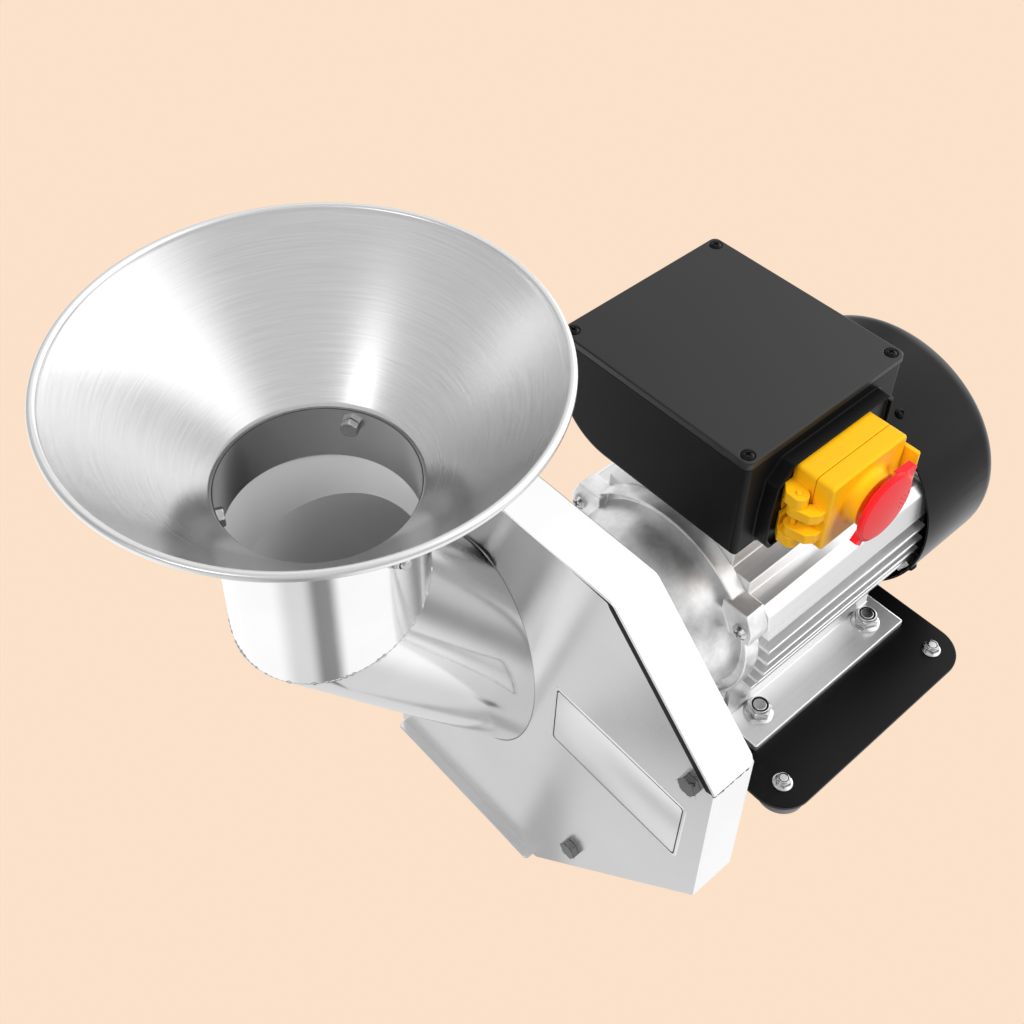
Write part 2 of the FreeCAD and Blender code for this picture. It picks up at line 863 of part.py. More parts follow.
def make_front_bell():
    """The cast flange end that carries the chamber and the front bearing."""
    bell = body("front_bell", y="-frame_half", z=AXIS)
    reach = "bell_length"
    seat = "(bearing_front + frame_half)"
    profile = sketch(bell, "YZ")
    loop(profile, [
        ("spigot_depth", "bore_reach - bell_wall"),
        ("spigot_depth", "bore_reach - running_play"),
        ("0", "bore_reach - running_play"),
        ("0", "bell_reach"),
        ("-ring_depth", "bell_reach"),
        ("-ring_depth", "groove_outer"),
        ("-ring_depth + groove_depth", "groove_outer"),
        ("-ring_depth + groove_depth", "dome_reach + dome_lip"),
        ("-ring_depth - dome_lip", "dome_reach", "1.5 * flange_reach"),
        (f"-{reach} + flange_thick + neck_length", "neck_reach"),
        (f"-{reach} + flange_thick", "neck_reach"),
        (f"-{reach} + flange_thick", "flange_reach"),
        (f"-{reach}", "flange_reach"),
        (f"-{reach}", "seal_reach"),
        (f"-{reach} + seal_width", "seal_reach"),
        (f"-{reach} + seal_width", "shaft_reach + shaft_room"),
        (seat, "shaft_reach + shaft_room"),
        (seat, "bearing_reach"),
        (f"{seat} + bearing_width", "bearing_reach"),
        (f"{seat} + bearing_width", "neck_reach - bell_wall - bell_step"),
        (f"{seat} + bearing_width + bell_cone", "neck_reach - bell_wall"),
    ])
    revolve(bell, profile, "H")
    bell_ears(bell, "ear_depth", back=False)
    tapped = sketch(bell, "XZ", reach)
    for step in range(4):
        circle(tapped, f"flange_ring * cos({45 + 90 * step})", f"flange_ring * sin({45 + 90 * step})",
               "m6_shank + running_play")
    pocket(bell, tapped, "flange_thick")


def make_rear_bell():
    """The cast end inside the cowl, with the rear bearing's seat."""
    bell = body("rear_bell_blank", y="frame_half", z=AXIS, keep=False)
    profile = sketch(bell, "YZ")
    seat = "(rear_bell_depth + rear_seat_rise)"
    loop(profile, [
        ("-spigot_depth", "bore_reach - bell_wall"),
        ("-spigot_depth", "bore_reach - running_play"),
        ("0", "bore_reach - running_play"),
        ("0", "bell_reach"),
        ("rear_bell_depth", "bell_reach"),
        ("rear_bell_depth + rear_rise", "bell_reach - rear_bevel"),
        ("rear_bell_depth + rear_rise", "rear_bearing_reach + rear_boss_wall + rear_rise"),
        ("rear_bell_depth + rear_boss_rise", "rear_bearing_reach + rear_boss_wall"),
        ("rear_bell_depth + rear_boss_rise", "shaft_rear_reach + shaft_room / 2"),
        (seat, "shaft_rear_reach + shaft_room / 2"),
        (seat, "rear_bearing_reach"),
        (f"{seat} - rear_bearing_width", "rear_bearing_reach"),
        (f"{seat} - rear_bearing_width", "rear_bearing_reach + bell_wall"),
        ("rear_bell_depth - bell_wall", "rear_bearing_reach + bell_wall + lap"),
        ("rear_bell_depth - bell_wall", "bore_reach - bell_wall"),
    ])
    revolve(bell, profile, "H")
    bell_ears(bell, "rear_bell_depth", back=True)

    lugs = sketch(bell, "XZ")
    inner = "bell_reach - cowl_boss_half"
    outer = "cowl_reach - cowl_wall - 2 * end_play"
    for turned in COWL_TURNS:
        loop(lugs, [spun(reach, half, turned) for reach, half in (
            (inner, "-cowl_boss_half"),
            (outer, "-cowl_boss_half"),
            (outer, "cowl_boss_half"),
            (inner, "cowl_boss_half"),
        )])
    pad(bell, lugs, "rear_bell_depth", back=True)
    drilled("rear_bell", bell, cowl_drills("rear_bell"))


def spun(reach, half, turned):
    """A corner given by its reach from the axis and its offset to the side, turned about the axis."""
    return (
        f"({reach}) * cos({turned}) - ({half}) * sin({turned})",
        f"({reach}) * sin({turned}) + ({half}) * cos({turned})",
    )


def cowl_drills(label):
    """Tools for the four radial screw holes of the cowl, which also reach into the rear bell's lugs."""
    drills = []
    for turned in COWL_TURNS:
        drill = doc.addObject("Part::Cylinder", f"{label}_drill")
        drill.setExpression("Radius", bound("m4_shank + running_play"))
        drill.setExpression("Height", bound("2 * cowl_boss_half + cowl_screw_length"))
        start = "(bell_reach - cowl_boss_half + lap)"
        place(drill, f"{start} * cos({turned})", "cowl_screw_line", f"{AXIS} + {start} * sin({turned})")
        turn(drill, ALONG_Y, f"90 - ({turned})")
        drills.append(drill)
    return drills


def ring(label, y, inner, outer, width, keep=True):
    """A ring about the shaft, from y towards +Y."""
    piece = body(label, y=y, z=AXIS, keep=keep)
    section = sketch(piece, "XZ")
    circle(section, "0", "0", outer)
    circle(section, "0", "0", inner)
    pad(piece, section, width, back=True)
    return piece


def make_motor_inside():
    """Bearings, seal, stator and windings."""
    ring("front_bearing", "bearing_front", "shaft_reach + running_play", "bearing_reach", "bearing_width")
    rear = "frame_half + rear_bell_depth + rear_seat_rise - rear_bearing_width"
    ring("rear_bearing", rear, "shaft_rear_reach + running_play", "rear_bearing_reach", "rear_bearing_width")
    ring("shaft_seal", "plate_face + chamber_depth", "shaft_reach + running_play", "seal_reach", "seal_width")
    ring("stator_core", "-core_half", "rotor_reach + air_gap", "bore_reach", "2 * core_half")

    coil = body("winding_shape", keep=False)
    profile = sketch(coil, "YZ")
    loop(profile, [
        ("0", "rotor_reach + winding_round"),
        ("winding_length - winding_round", "rotor_reach + winding_round + lap"),
        ("winding_length", "rotor_reach + 2 * winding_round + lap"),
        ("winding_length", "winding_reach - winding_round - lap"),
        ("winding_length - winding_round", "winding_reach - lap"),
        ("0", "winding_reach"),
    ])
    revolve(coil, profile, "H")
    group("stator_windings", coil, [("0", "core_half", AXIS), ("0", "-core_half", AXIS)], ALONG_Z, ["0", "180"])


def make_ties():
    """The long screws that hold both bells on the frame."""
    length = "2 * frame_half + ear_depth + rear_bell_depth"
    screw = pan_screw("tie_shape", "m5", length)
    spots = []
    for side in ("", "-"):
        spots.append((f"{side}tie_side", "-frame_half - ear_depth", f"{AXIS} + tie_height"))
        spots.append((f"{side}tie_low_side", "-frame_half - ear_depth", f"{AXIS} - tie_low_height"))
    group("tie_screws", screw, spots, ALONG_X, ["90"] * 4)


def make_cowl():
    """The sheet cowl over the fan, with radial slots in its back."""
    cowl = body("cowl_blank", y="cowl_front", z=AXIS, keep=False)
    profile = sketch(cowl, "YZ")
    depth = "(cowl_back - cowl_front)"
    inside = "(cowl_corner - cowl_wall)"
    loop(profile, [
        ("0", "cowl_reach - cowl_wall"),
        (f"{depth} - cowl_corner", "cowl_reach - cowl_wall", f"-{inside}"),
        (f"{depth} - cowl_wall", "cowl_reach - cowl_corner"),
        (f"{depth} - cowl_wall", "0"),
        (depth, "0"),
        (depth, "cowl_reach - cowl_corner", "cowl_corner"),
        (f"{depth} - cowl_corner", "cowl_reach"),
        ("0", "cowl_reach"),
    ])
    revolve(cowl, profile, "H")
    for inner, outer, count in (
        ("slot_inner", "slot_outer - slot_bridge", "12"),
        ("slot_outer", "slot_rim", "24"),
    ):
        slot = sketch(cowl, "XZ", f"-{depth}")
        box_loop(slot, inner, outer, "-slot_half", "slot_half")
        around(cowl, pocket(cowl, slot, "3 * cowl_wall", back=True), "Y", count)
    drilled("fan_cowl", cowl, cowl_drills("fan_cowl"))
    screw = pan_screw("cowl_screw_shape", "m4", "cowl_screw_length")
    spots = [(f"cowl_reach * cos({turned})", "cowl_screw_line", f"{AXIS} + cowl_reach * sin({turned})")
             for turned in COWL_TURNS]
    group("cowl_screws", screw, spots, ALONG_Y, [f"90 - ({turned})" for turned in COWL_TURNS])


# ---------------------------------------------------------------- rotor


def make_rotor():
    """The shaft and all that turns with it."""
    shaft = body("motor_shaft", z=AXIS)
    disc_front = "(plate_face + disc_face)"
    rear_seat = "(frame_half + rear_bell_depth + rear_seat_rise - rear_bearing_width)"
    profile = sketch(shaft, "YZ")
    loop(profile, [
        (f"{disc_front} - shaft_tip", "0"),
        (f"{disc_front} - shaft_tip", "shaft_tip_reach - lap"),
        (f"{disc_front} - shaft_tip + lap", "shaft_tip_reach"),
        (f"{disc_front}", "shaft_tip_reach"),
        (f"{disc_front} + disc_thick", "shaft_tip_reach"),
        (f"{disc_front} + disc_thick", "shaft_reach"),
        ("bearing_front + bearing_width + end_play", "shaft_reach"),
        ("bearing_front + bearing_width + end_play", "shaft_core_reach"),
        (f"{rear_seat} - end_play", "shaft_core_reach"),
        (f"{rear_seat} - end_play", "shaft_rear_reach"),
        (f"{rear_seat} + rear_bearing_width + shaft_step", "shaft_rear_reach"),
        (f"{rear_seat} + rear_bearing_width + shaft_step", "shaft_tip_reach"),
        ("fan_front + fan_width", "shaft_tip_reach"),
        ("fan_front + fan_width", "0"),
    ])
    revolve(shaft, profile, "H")

    ring("rotor_core", "-core_half", "shaft_core_reach + press_play", "rotor_reach", "2 * core_half")

    disc = body("cutter_disc", y=f"{disc_front}", z=AXIS)
    face = sketch(disc, "XZ")
    circle(face, "0", "0", "disc_reach")
    circle(face, "0", "0", "shaft_tip_reach + press_play")
    pad(disc, face, "disc_thick", back=True)
    hub = sketch(disc, "XZ", "-disc_thick")
    circle(hub, "0", "0", "shaft_reach + disc_hub")
    circle(hub, "0", "0", "shaft_reach + press_play")
    pad(disc, hub, "disc_hub_rise", back=True)
    window = sketch(disc, "XZ")
    box_loop(window, "blade_start", "blade_start + blade_length", "blade_half + window_gap",
             "blade_half + window_gap + window_wide")
    around(disc, pocket(disc, window, "disc_thick"), "Y", "blade_count")
    holes = sketch(disc, "XZ")
    for spot in ("blade_start + blade_screw_inset", "blade_start + blade_length - blade_screw_inset"):
        circle(holes, spot, "0", "m4_shank + hole_clearance")
    around(disc, pocket(disc, holes, "disc_thick"), "Y", "blade_count")

    blade = body("blade_shape", keep=False)
    side = sketch(blade, "YZ")
    loop(side, [
        ("0", "-blade_half"),
        ("0", "blade_half"),
        ("-blade_thick", "blade_half"),
        ("-blade_height", "blade_half - lap"),
        ("-blade_thick", "blade_half - blade_root"),
        ("-blade_thick", "-blade_half"),
    ])
    pad(blade, side, "blade_length")
    teeth = sketch(blade, "XZ", "blade_thick")
    for step in range(5):
        box_loop(teeth, f"blade_length / 6 * {step + 1} - tooth_gap / 2",
                 f"blade_length / 6 * {step + 1} + tooth_gap / 2", "blade_half - blade_root", "blade_half + lap")
    pocket(blade, teeth, "blade_height", back=True)
    screws = sketch(blade, "XZ")
    for spot in ("blade_screw_inset", "blade_length - blade_screw_inset"):
        circle(screws, spot, "0", "m4_shank + hole_clearance")
    pocket(blade, screws)
    count = int(number("blade_count"))
    seats = [
        (f"blade_start * cos({360 / count * step})", disc_front, f"{AXIS} + blade_start * sin({360 / count * step})")
        for step in range(count)
    ]
    angles = [f"-360 / blade_count * {step}" for step in range(count)]
    group("cutter_blades", blade, seats, ALONG_Y, angles)

    screw = pan_screw("blade_screw_shape", "m4", "disc_thick + blade_thick + lap")
    spots = []
    for step in range(count):
        for reach in ("blade_start + blade_screw_inset", "blade_start + blade_length - blade_screw_inset"):
            turned = 360 / count * step
            spots.append((f"({reach}) * cos({turned})", f"{disc_front} - blade_thick",
                          f"{AXIS} + ({reach}) * sin({turned})"))
    group("blade_screws", screw, spots, ALONG_X, ["90"] * len(spots))

    nut = body("disc_nut", y=disc_front, z=AXIS)
    hexes = sketch(nut, "XZ")
    hexagon(hexes, "disc_nut_across")
    circle(hexes, "0", "0", "shaft_tip_reach + press_play")
    pad(nut, hexes, "disc_nut_high")

    make_fan()


def make_fan():
    """The plastic cooling fan: a hub, a web and straight radial blades."""
    fan = body("cooling_fan", y="fan_front", z=AXIS)
    profile = sketch(fan, "YZ")
    loop(profile, [
        ("0", "shaft_tip_reach + press_play"),
        ("fan_width - 2 * lap", "shaft_tip_reach + press_play"),
        ("fan_width - 2 * lap", "fan_hub"),
        ("fan_web", "fan_hub + 2 * lap"),
        ("fan_web", "fan_reach - fan_web"),
        ("0", "fan_reach - fan_web"),
    ])
    revolve(fan, profile, "H")
    vane = sketch(fan, "XZ")
    box_loop(vane, "fan_hub - 2 * lap", "fan_reach", "-vane_half", "vane_half")
    around(fan, pad(fan, vane, "fan_width", back=True), "Y", "8")


# ---------------------------------------------------------------- chamber

OUTLINE = [
    ("-side_reach", "shoulder"),
    ("-side_reach", "outlet_height"),
    ("outlet_right", "outlet_height"),
    ("side_reach", "waist"),
    ("side_reach", "shoulder"),
    ("roof_half", "roof_height"),
    ("-roof_half", "roof_height"),
]


def feed_bore(label, reach):
    """A long cylinder along the sloping feed tube's line, as a tool for cuts."""
    bore = doc.addObject("Part::Cylinder", label)
    bore.setExpression("Radius", bound(reach))
    bore.setExpression("Height", bound("4 * side_reach"))
    place(bore, "feed_side", "feed_line - tube_reach * cos(feed_slope)", "mitre_height + tube_reach * sin(feed_slope)")
    turn(bore, ALONG_X, "-90 - feed_slope")
    return bore


def at_roof(middle, along, edge):
    """Whether an edge is one of the two bends at the ends of the roof's flat."""
    return abs(along.y) > 0.9 and abs(abs(middle.x) - number("roof_half")) < number("2 * plate_gap") and (
        middle.z > number("roof_height - lap"))


def plate_spots():
    """The four fixings of the front plate, to the sides of the shaft and above or below it."""
    return [
        ("post_side", "post_high"),
        ("-post_side", "post_high"),
        ("post_low_side", "post_low"),
        ("-post_side", "post_low"),
    ]


def make_chamber():
    """The crushing chamber: pan, front plate, roof band and what joins them."""
    pan = body("rear_housing", y="plate_face + sheet", z=AXIS)
    outline = sketch(pan, "XZ")
    loop(outline, OUTLINE)
    pad(pan, outline, "chamber_depth - sheet", back=True)
    soften(pan, "Fillet", "band_round", at_roof)
    shell = pan.newObject("PartDesign::Thickness", "pan_shell")
    solid = shell.BaseFeature if shell.BaseFeature else pan.Group[-2]
    names = []
    for index, face in enumerate(solid.Shape.Faces, start=1):
        middle = face.CenterOfMass
        if abs(middle.y) < 1e-6 or near(middle.z, "outlet_height"):
            names.append(f"Face{index}")
    shell.Base = (solid, names)
    shell.setExpression("Value", bound("sheet"))
    shell.Reversed = True
    shell.Join = 1
    pan.Tip = shell
    doc.recompute()
    holes = sketch(pan, "XZ")
    circle(holes, "0", "0", "shaft_reach + shaft_room + lap")
    for step in range(4):
        circle(holes, f"flange_ring * cos({45 + 90 * step})", f"flange_ring * sin({45 + 90 * step})",
               "m6_shank + hole_clearance")
    pocket(pan, holes)

    screw = pan_screw("flange_screw_shape", "m6", "sheet + flange_thick - lap")
    spots = []
    for step in range(4):
        spots.append((f"flange_ring * cos({45 + 90 * step})", "plate_face + chamber_depth - sheet",
                      f"{AXIS} + flange_ring * sin({45 + 90 * step})"))
    group("flange_screws", screw, spots, ALONG_X, ["90"] * 4)

    whole = body("front_plate_shape", y="plate_face", z=AXIS, keep=False)
    outline = sketch(whole, "XZ")
    inset = "plate_gap / cos(45)"
    loop(outline, OUTLINE[1:4] + [
        ("side_reach", f"shoulder - {inset}"),
        (f"roof_half - {inset}", "roof_height"),
        (f"-roof_half + {inset}", "roof_height"),
        ("-side_reach", f"shoulder - {inset}"),
    ])
    pad(whole, outline, "sheet", back=True)
    soften(whole, "Fillet", "band_round", at_roof)
    lip = sketch(whole, "XZ")
    box_loop(lip, "-side_reach + lip_margin", "outlet_right - lip_margin", "outlet_height", "outlet_height + sheet")
    pad(whole, lip, "lip_depth")
    soften(whole, "Fillet", "lip_margin", lambda middle, along, edge: near(middle.y, "-lip_depth")
           and abs(along.z) > 0.9)
    holes = sketch(whole, "XZ")
    for x, z in plate_spots():
        circle(holes, x, z, "m6_shank + hole_clearance")
    pocket(whole, holes, "sheet")
    plate = doc.addObject("Part::Cut", "front_plate")
    plate.Label = "front_plate"
    plate.Base = whole
    plate.Tool = feed_bore("plate_opening", "tube_reach - tube_wall")
    nodes.append(plate)

    band = body("roof_band", y="plate_face - band_proud", z=AXIS)
    strip = sketch(band, "XZ")
    loop(strip, [
        ("side_reach", "shoulder"),
        ("side_reach + band_thick * cos(45)", "shoulder + band_thick * cos(45)"),
        ("roof_half + band_thick * tan(22.5)", "roof_height + band_thick"),
        ("-roof_half - band_thick * tan(22.5)", "roof_height + band_thick"),
        ("-side_reach - band_thick * cos(45)", "shoulder + band_thick * cos(45)"),
        ("-side_reach", "shoulder"),
        ("-roof_half", "roof_height"),
        ("roof_half", "roof_height"),
    ])
    pad(band, strip, "chamber_depth + band_proud", back=True)
    soften(band, "Fillet", "band_round", lambda middle, along, edge: abs(along.y) > 0.9
           and near(middle.z, "roof_height"))
    soften(band, "Fillet", "band_round + band_thick", lambda middle, along, edge: abs(along.y) > 0.9
           and near(middle.z, "roof_height + band_thick"))
    soften(band, "Fillet", "band_corner", lambda middle, along, edge: abs(along.y) < 0.1 and abs(along.z) > 0.5
           and near(edge.Length, "band_thick") and near(middle.y, "chamber_depth + band_proud"))

    post = body("post_shape", keep=False)
    stem = sketch(post, "XZ")
    circle(stem, "0", "0", "post_reach")
    circle(stem, "0", "0", "m6_shank + running_play")
    pad(post, stem, "chamber_depth - 2 * sheet", back=True)
    group("plate_posts", post, [(x, "plate_face + sheet", f"{AXIS} + {z}") for x, z in plate_spots()])
    bolt = hex_bolt("plate_bolt_shape", "m6", "sheet + plate_bolt_grip")
    group("plate_bolts", bolt, [(x, "plate_face", f"{AXIS} + {z}") for x, z in plate_spots()], ALONG_X, ["90"] * 4)


# ---------------------------------------------------------------- feed


def side_prism(label, corners, half):
    """A block with an outline in the YZ plane, as a tool for cuts."""
    prism = body(label, x="feed_side", keep=False)
    outline = sketch(prism, "YZ")
    loop(outline, corners)
    pad(prism, outline, f"2 * ({half})", middle=True)
    return prism


def tube(label, inner, outer):
    """A long tube along the sloping feed line."""
    pipe = doc.addObject("Part::Cut", label)
    pipe.Base = feed_bore(label + "_outside", outer)
    pipe.Tool = feed_bore(label + "_inside", inner)
    return pipe


def make_feed():
    """The two feed tubes, mitred against each other, and the weld between them."""
    rise = "tan((90 - feed_slope) / 2)"
    wide = "(tube_reach + trim_room)"
    upright = body("inlet_blank", x="feed_side", y="feed_line", keep=False)
    section = sketch(upright, "XY", "mitre_height - tube_reach")
    circle(section, "0", "0", "tube_reach")
    circle(section, "0", "0", "tube_reach - tube_wall")
    pad(upright, section, "tube_top - mitre_height + tube_reach")
    below = sketch(upright, "YZ")
    loop(below, [
        (f"-{wide}", f"mitre_height - {wide} * {rise}"),
        (f"-{wide}", f"mitre_height - 2 * {wide}"),
        (wide, f"mitre_height - 2 * {wide}"),
        (wide, f"mitre_height + {wide} * {rise}"),
    ])
    pocket(upright, below)
    drilled("inlet_tube", upright, hopper_drills("inlet_tube"))

    trim = side_prism("sloping_trim", [
        (f"feed_line - {wide}", f"mitre_height - {wide} * {rise}"),
        (f"feed_line - {wide}", "-2 * side_reach"),
        ("plate_face", "-2 * side_reach"),
        ("plate_face", f"mitre_height + (plate_face - feed_line) * {rise}"),
    ], wide)
    sloping = doc.addObject("Part::Common", "feed_tube")
    sloping.Label = "feed_tube"
    sloping.Base = tube("sloping_tube", "tube_reach - tube_wall", "tube_reach")
    sloping.Tool = trim
    nodes.append(sloping)

    slab = side_prism("weld_slab", [
        (f"feed_line - {wide}", f"mitre_height - {wide} * {rise} - weld_reach"),
        (f"feed_line + {wide}", f"mitre_height + {wide} * {rise} - weld_reach"),
        (f"feed_line + {wide}", f"mitre_height + {wide} * {rise} + weld_reach"),
        (f"feed_line - {wide}", f"mitre_height - {wide} * {rise} + weld_reach"),
    ], wide)
    collar = body("weld_collar", x="feed_side", y="feed_line", keep=False)
    rings = sketch(collar, "XY", "mitre_height - tube_reach")
    circle(rings, "0", "0", "tube_reach + weld_reach")
    circle(rings, "0", "0", "tube_reach")
    pad(collar, rings, "2 * tube_reach")
    bead = doc.addObject("Part::Common", "weld_bead")
    bead.Base = collar
    bead.Tool = slab
    weld = doc.addObject("Part::Cut", "elbow_weld")
    weld.Label = "elbow_weld"
    weld.Base = bead
    weld.Tool = sloping
    nodes.append(weld)


def hopper_drills(label):
    """Tools for the hopper's three radial bolt holes."""
    drills = []
    for step in range(3):
        drill = doc.addObject("Part::Cylinder", f"{label}_drill")
        drill.setExpression("Radius", bound("m5_shank + hole_clearance"))
        drill.setExpression("Height", bound("1.5 * tube_reach"))
        place(drill, "feed_side", "feed_line", "hopper_bolt_height")
        drill.Placement.Rotation = outward(step)
        drills.append(drill)
    return drills


def outward(step):
    """The turn that points a fastener's axis out from the hopper at one of its three bolts."""
    return Rotation(ALONG_Z, number(f"hopper_bolt_turn + {120 * step}")) * Rotation(ALONG_Y, 90)


def make_hopper():
    """The spun hopper with its rolled rim, and the bolts that hold it in the tube."""
    spigot = "(tube_reach - tube_wall - hopper_play)"
    sleeve = body("spigot_blank", x="feed_side", y="feed_line", keep=False)
    section = sketch(sleeve, "XY", "hopper_neck - hopper_spigot")
    circle(section, "0", "0", spigot)
    circle(section, "0", "0", f"{spigot} - hopper_wall")
    pad(sleeve, section, "hopper_spigot")
    drilled("hopper_spigot", sleeve, hopper_drills("hopper_spigot"))

    hopper = body("hopper_cone", x="feed_side", y="feed_line")
    profile = sketch(hopper, "XZ")
    loop(profile, [
        (f"{spigot} - hopper_wall", "hopper_neck"),
        (spigot, "hopper_neck"),
        ("rim_reach", "hopper_rim"),
        ("rim_reach - 1.6 * hopper_wall", "hopper_rim"),
        (f"{spigot} - hopper_wall", "hopper_neck + hopper_wall"),
    ])
    revolve(hopper, profile, "V")
    bead = sketch(hopper, "XZ")
    circle(bead, "rim_reach", "hopper_rim", "bead_reach")
    revolve(hopper, bead, "V")

    bolt = hex_bolt("hopper_bolt_shape", "m5", "hopper_wall + hopper_play + tube_wall + end_proud")
    nut = flange_nut("hopper_nut_shape", "m5")
    inner = f"(sqrt(({spigot} - hopper_wall)^2 - (m5_across / 2 / cos(30))^2) - running_play)"
    for label, piece, reach in (("hopper_bolts", bolt, inner), ("hopper_nuts", nut, "tube_reach")):
        copies = []
        for step in range(3):
            copy = doc.addObject("App::Link", f"{label}_{step + 1}")
            copy.LinkedObject = piece
            spin = f"(hopper_bolt_turn + {120 * step})"
            place(copy, f"feed_side + {reach} * cos({spin})", f"feed_line + {reach} * sin({spin})",
                  "hopper_bolt_height")
            copy.Placement.Rotation = outward(step) * Rotation(ALONG_X, 180) if piece is bolt else outward(step)
            copies.append(copy)
        together = doc.addObject("Part::Compound", label)
        together.Label = label
        together.Links = copies
        nodes.append(together)


# ---------------------------------------------------------------- switch box


def make_box():
    """The switch box on the pedestal, its lid and what it holds."""
    box = body("switch_box")
    outline = sketch(box, "XZ", "-box_front")
    top = "(box_top - lid_thick)"
    loop(outline, [
        ("box_left", top),
        ("box_left", "box_bottom + box_round", "box_round"),
        ("box_left + box_round", "box_bottom"),
        ("box_right", "box_bottom"),
        ("box_right", top),
    ])
    pad(box, outline, "box_back - box_front", back=True)
    soften(box, "Fillet", "box_corner", lambda middle, along, edge: abs(along.z) > 0.9)
    inside = "(box_round - box_wall)"
    room = sketch(box, "XZ", "-(box_front + box_wall)")
    loop(room, [
        ("box_left + box_wall", f"{top} + lap"),
        ("box_left + box_wall", "box_bottom + box_round", inside),
        ("box_left + box_round", "box_bottom + box_wall"),
        ("box_right - box_wall", "box_bottom + box_wall"),
        ("box_right - box_wall", f"{top} + lap"),
    ])
    pocket(box, room, "box_back - box_front - 2 * box_wall")
    posts = sketch(box, "XY", "box_bottom + box_round")
    for x in ("box_left", "box_right"):
        for y in ("box_front", "box_back"):
            px = f"{x} + lid_screw_inset" if x == "box_left" else f"{x} - lid_screw_inset"
            py = f"{y} + lid_screw_inset" if y == "box_front" else f"{y} - lid_screw_inset"
            circle(posts, px, py, "lid_post")
    pad(box, posts, f"{top} - box_bottom - box_round")
    drills = sketch(box, "XY", top)
    for px, py in lid_spots():
        circle(drills, px, py, "m3_shank + running_play")
    pocket(box, drills, "lid_screw_length")
    boss = sketch(box, "YZ", "box_right - lap")
    loop(boss, boss_outline("0"))
    pad(box, boss, "boss_reach + lap")
    recess = sketch(box, "YZ", "box_right + boss_reach")
    loop(recess, boss_outline("boss_lip"))
    pocket(box, recess, "boss_recess")
    window = sketch(box, "YZ", "box_right + boss_reach")
    ledge = "(switch_ledge - lap)"
    box_loop(window, f"switch_front + {ledge}", f"switch_back - {ledge}", f"switch_low + {ledge}",
             f"switch_high - {ledge}")
    pocket(box, window, "boss_reach + box_wall + 2 * lap")
    bottom_hole = sketch(box, "XY", "box_bottom")
    circle(bottom_hole, "0", "0", "wire_reach - lap")
    pocket(box, bottom_hole, "box_wall + lap", back=True)
    gland_hole = sketch(box, "XZ", "-box_back")
    circle(gland_hole, "gland_side", "gland_height", "gland_reach - 2 * lap")
    pocket(box, gland_hole, "box_wall + lap", back=True)

    lid = body("box_lid")
    cover = sketch(lid, "XY", top)
    box_loop(cover, "box_left - lid_proud", "box_right + lid_proud", "box_front - lid_proud", "box_back + lid_proud")
    pad(lid, cover, "lid_thick")
    soften(lid, "Fillet", "box_corner", lambda middle, along, edge: abs(along.z) > 0.9)
    soften(lid, "Fillet", "lid_round", lambda middle, along, edge: near(middle.z, "box_top"))
    sinks = sketch(lid, "XY", "box_top")
    for px, py in lid_spots():
        circle(sinks, px, py, "lid_post")
    pocket(lid, sinks, "lid_sink")
    drills = sketch(lid, "XY")
    for px, py in lid_spots():
        circle(drills, px, py, "m3_shank + hole_clearance")
    pocket(lid, drills)
    screw = pan_screw("lid_screw_shape", "m3", "lid_screw_length")
    group("lid_screws", screw, [(px, py, "box_top - lid_sink") for px, py in lid_spots()])

    inset = "(box_round - (box_round - box_wall - can_reach - end_play) * cos(45))"
    can = body("run_capacitor", x=f"box_left + {inset}", y="box_front + box_wall + 2 * can_cap",
               z=f"box_bottom + {inset}")
    profile = sketch(can, "YZ")
    loop(profile, [
        ("0", "0"),
        ("0", "can_reach - can_edge"),
        ("can_edge", "can_reach"),
        ("can_length - can_edge", "can_reach"),
        ("can_length", "can_reach - can_edge"),
        ("can_length", "can_cap"),
        ("can_length + can_cap", "can_cap"),
        ("can_length + can_cap", "0"),
    ])
    revolve(can, profile, "H")

    block = body("terminal_block", x="block_side", y="block_line", z="box_bottom + box_wall")
    base = sketch(block, "XY")
    box_loop(base, "-block_half", "block_half", "-block_depth", "block_depth")
    pad(block, base, "block_high")
    wells = sketch(block, "XY", "block_high")
    for step in range(3):
        circle(wells, f"well_pitch * {step - 1}", "-block_depth / 2", "well_reach")
        circle(wells, f"well_pitch * {step - 1}", "block_depth / 2", "well_reach")
    pocket(block, wells, "block_high / 2")

    gland = body("cable_gland", x="gland_side", y="box_back", z="gland_height")
    profile = sketch(gland, "YZ")
    loop(profile, [
        ("-box_wall - gland_nut", "gland_bore"),
        ("gland_length", "gland_bore"),
        ("gland_length", "gland_bore + gland_neck"),
        ("gland_length - 2 * lap", "gland_reach - gland_neck"),
        ("gland_collar", "gland_reach - lap"),
        ("0", "gland_reach - lap"),
        ("0", "gland_reach - gland_neck"),
        ("-box_wall", "gland_reach - gland_neck"),
        ("-box_wall", "gland_reach"),
        ("-box_wall - gland_nut", "gland_reach"),
    ])
    revolve(gland, profile, "H")
    collar = sketch(gland, "XZ")
    hexagon(collar, "2 * gland_reach - lap")
    circle(collar, "0", "0", "gland_reach - gland_neck - lap")
    pad(gland, collar, "gland_collar", back=True)


def boss_outline(inset):
    """The outline of the boss that carries the switch, or of its recess when inset."""
    low = f"(box_bottom + boss_foot + ({inset}))"
    high = f"(boss_top - ({inset}))"
    front = f"(boss_front + ({inset}))"
    back = f"(boss_back - ({inset}))"
    return [
        (front, f"{low} + boss_low_corner"),
        (f"{front} + box_corner", low),
        (f"{back} - box_corner", low),
        (back, f"{low} + boss_low_corner"),
        (back, f"{high} - boss_high_corner"),
        (f"{back} - boss_high_corner", high),
        (f"{front} + boss_slant", high),
        (f"{front} + boss_slant_step", f"{high} - boss_slant_drop"),
        (front, f"{high} - boss_side_drop"),
    ]


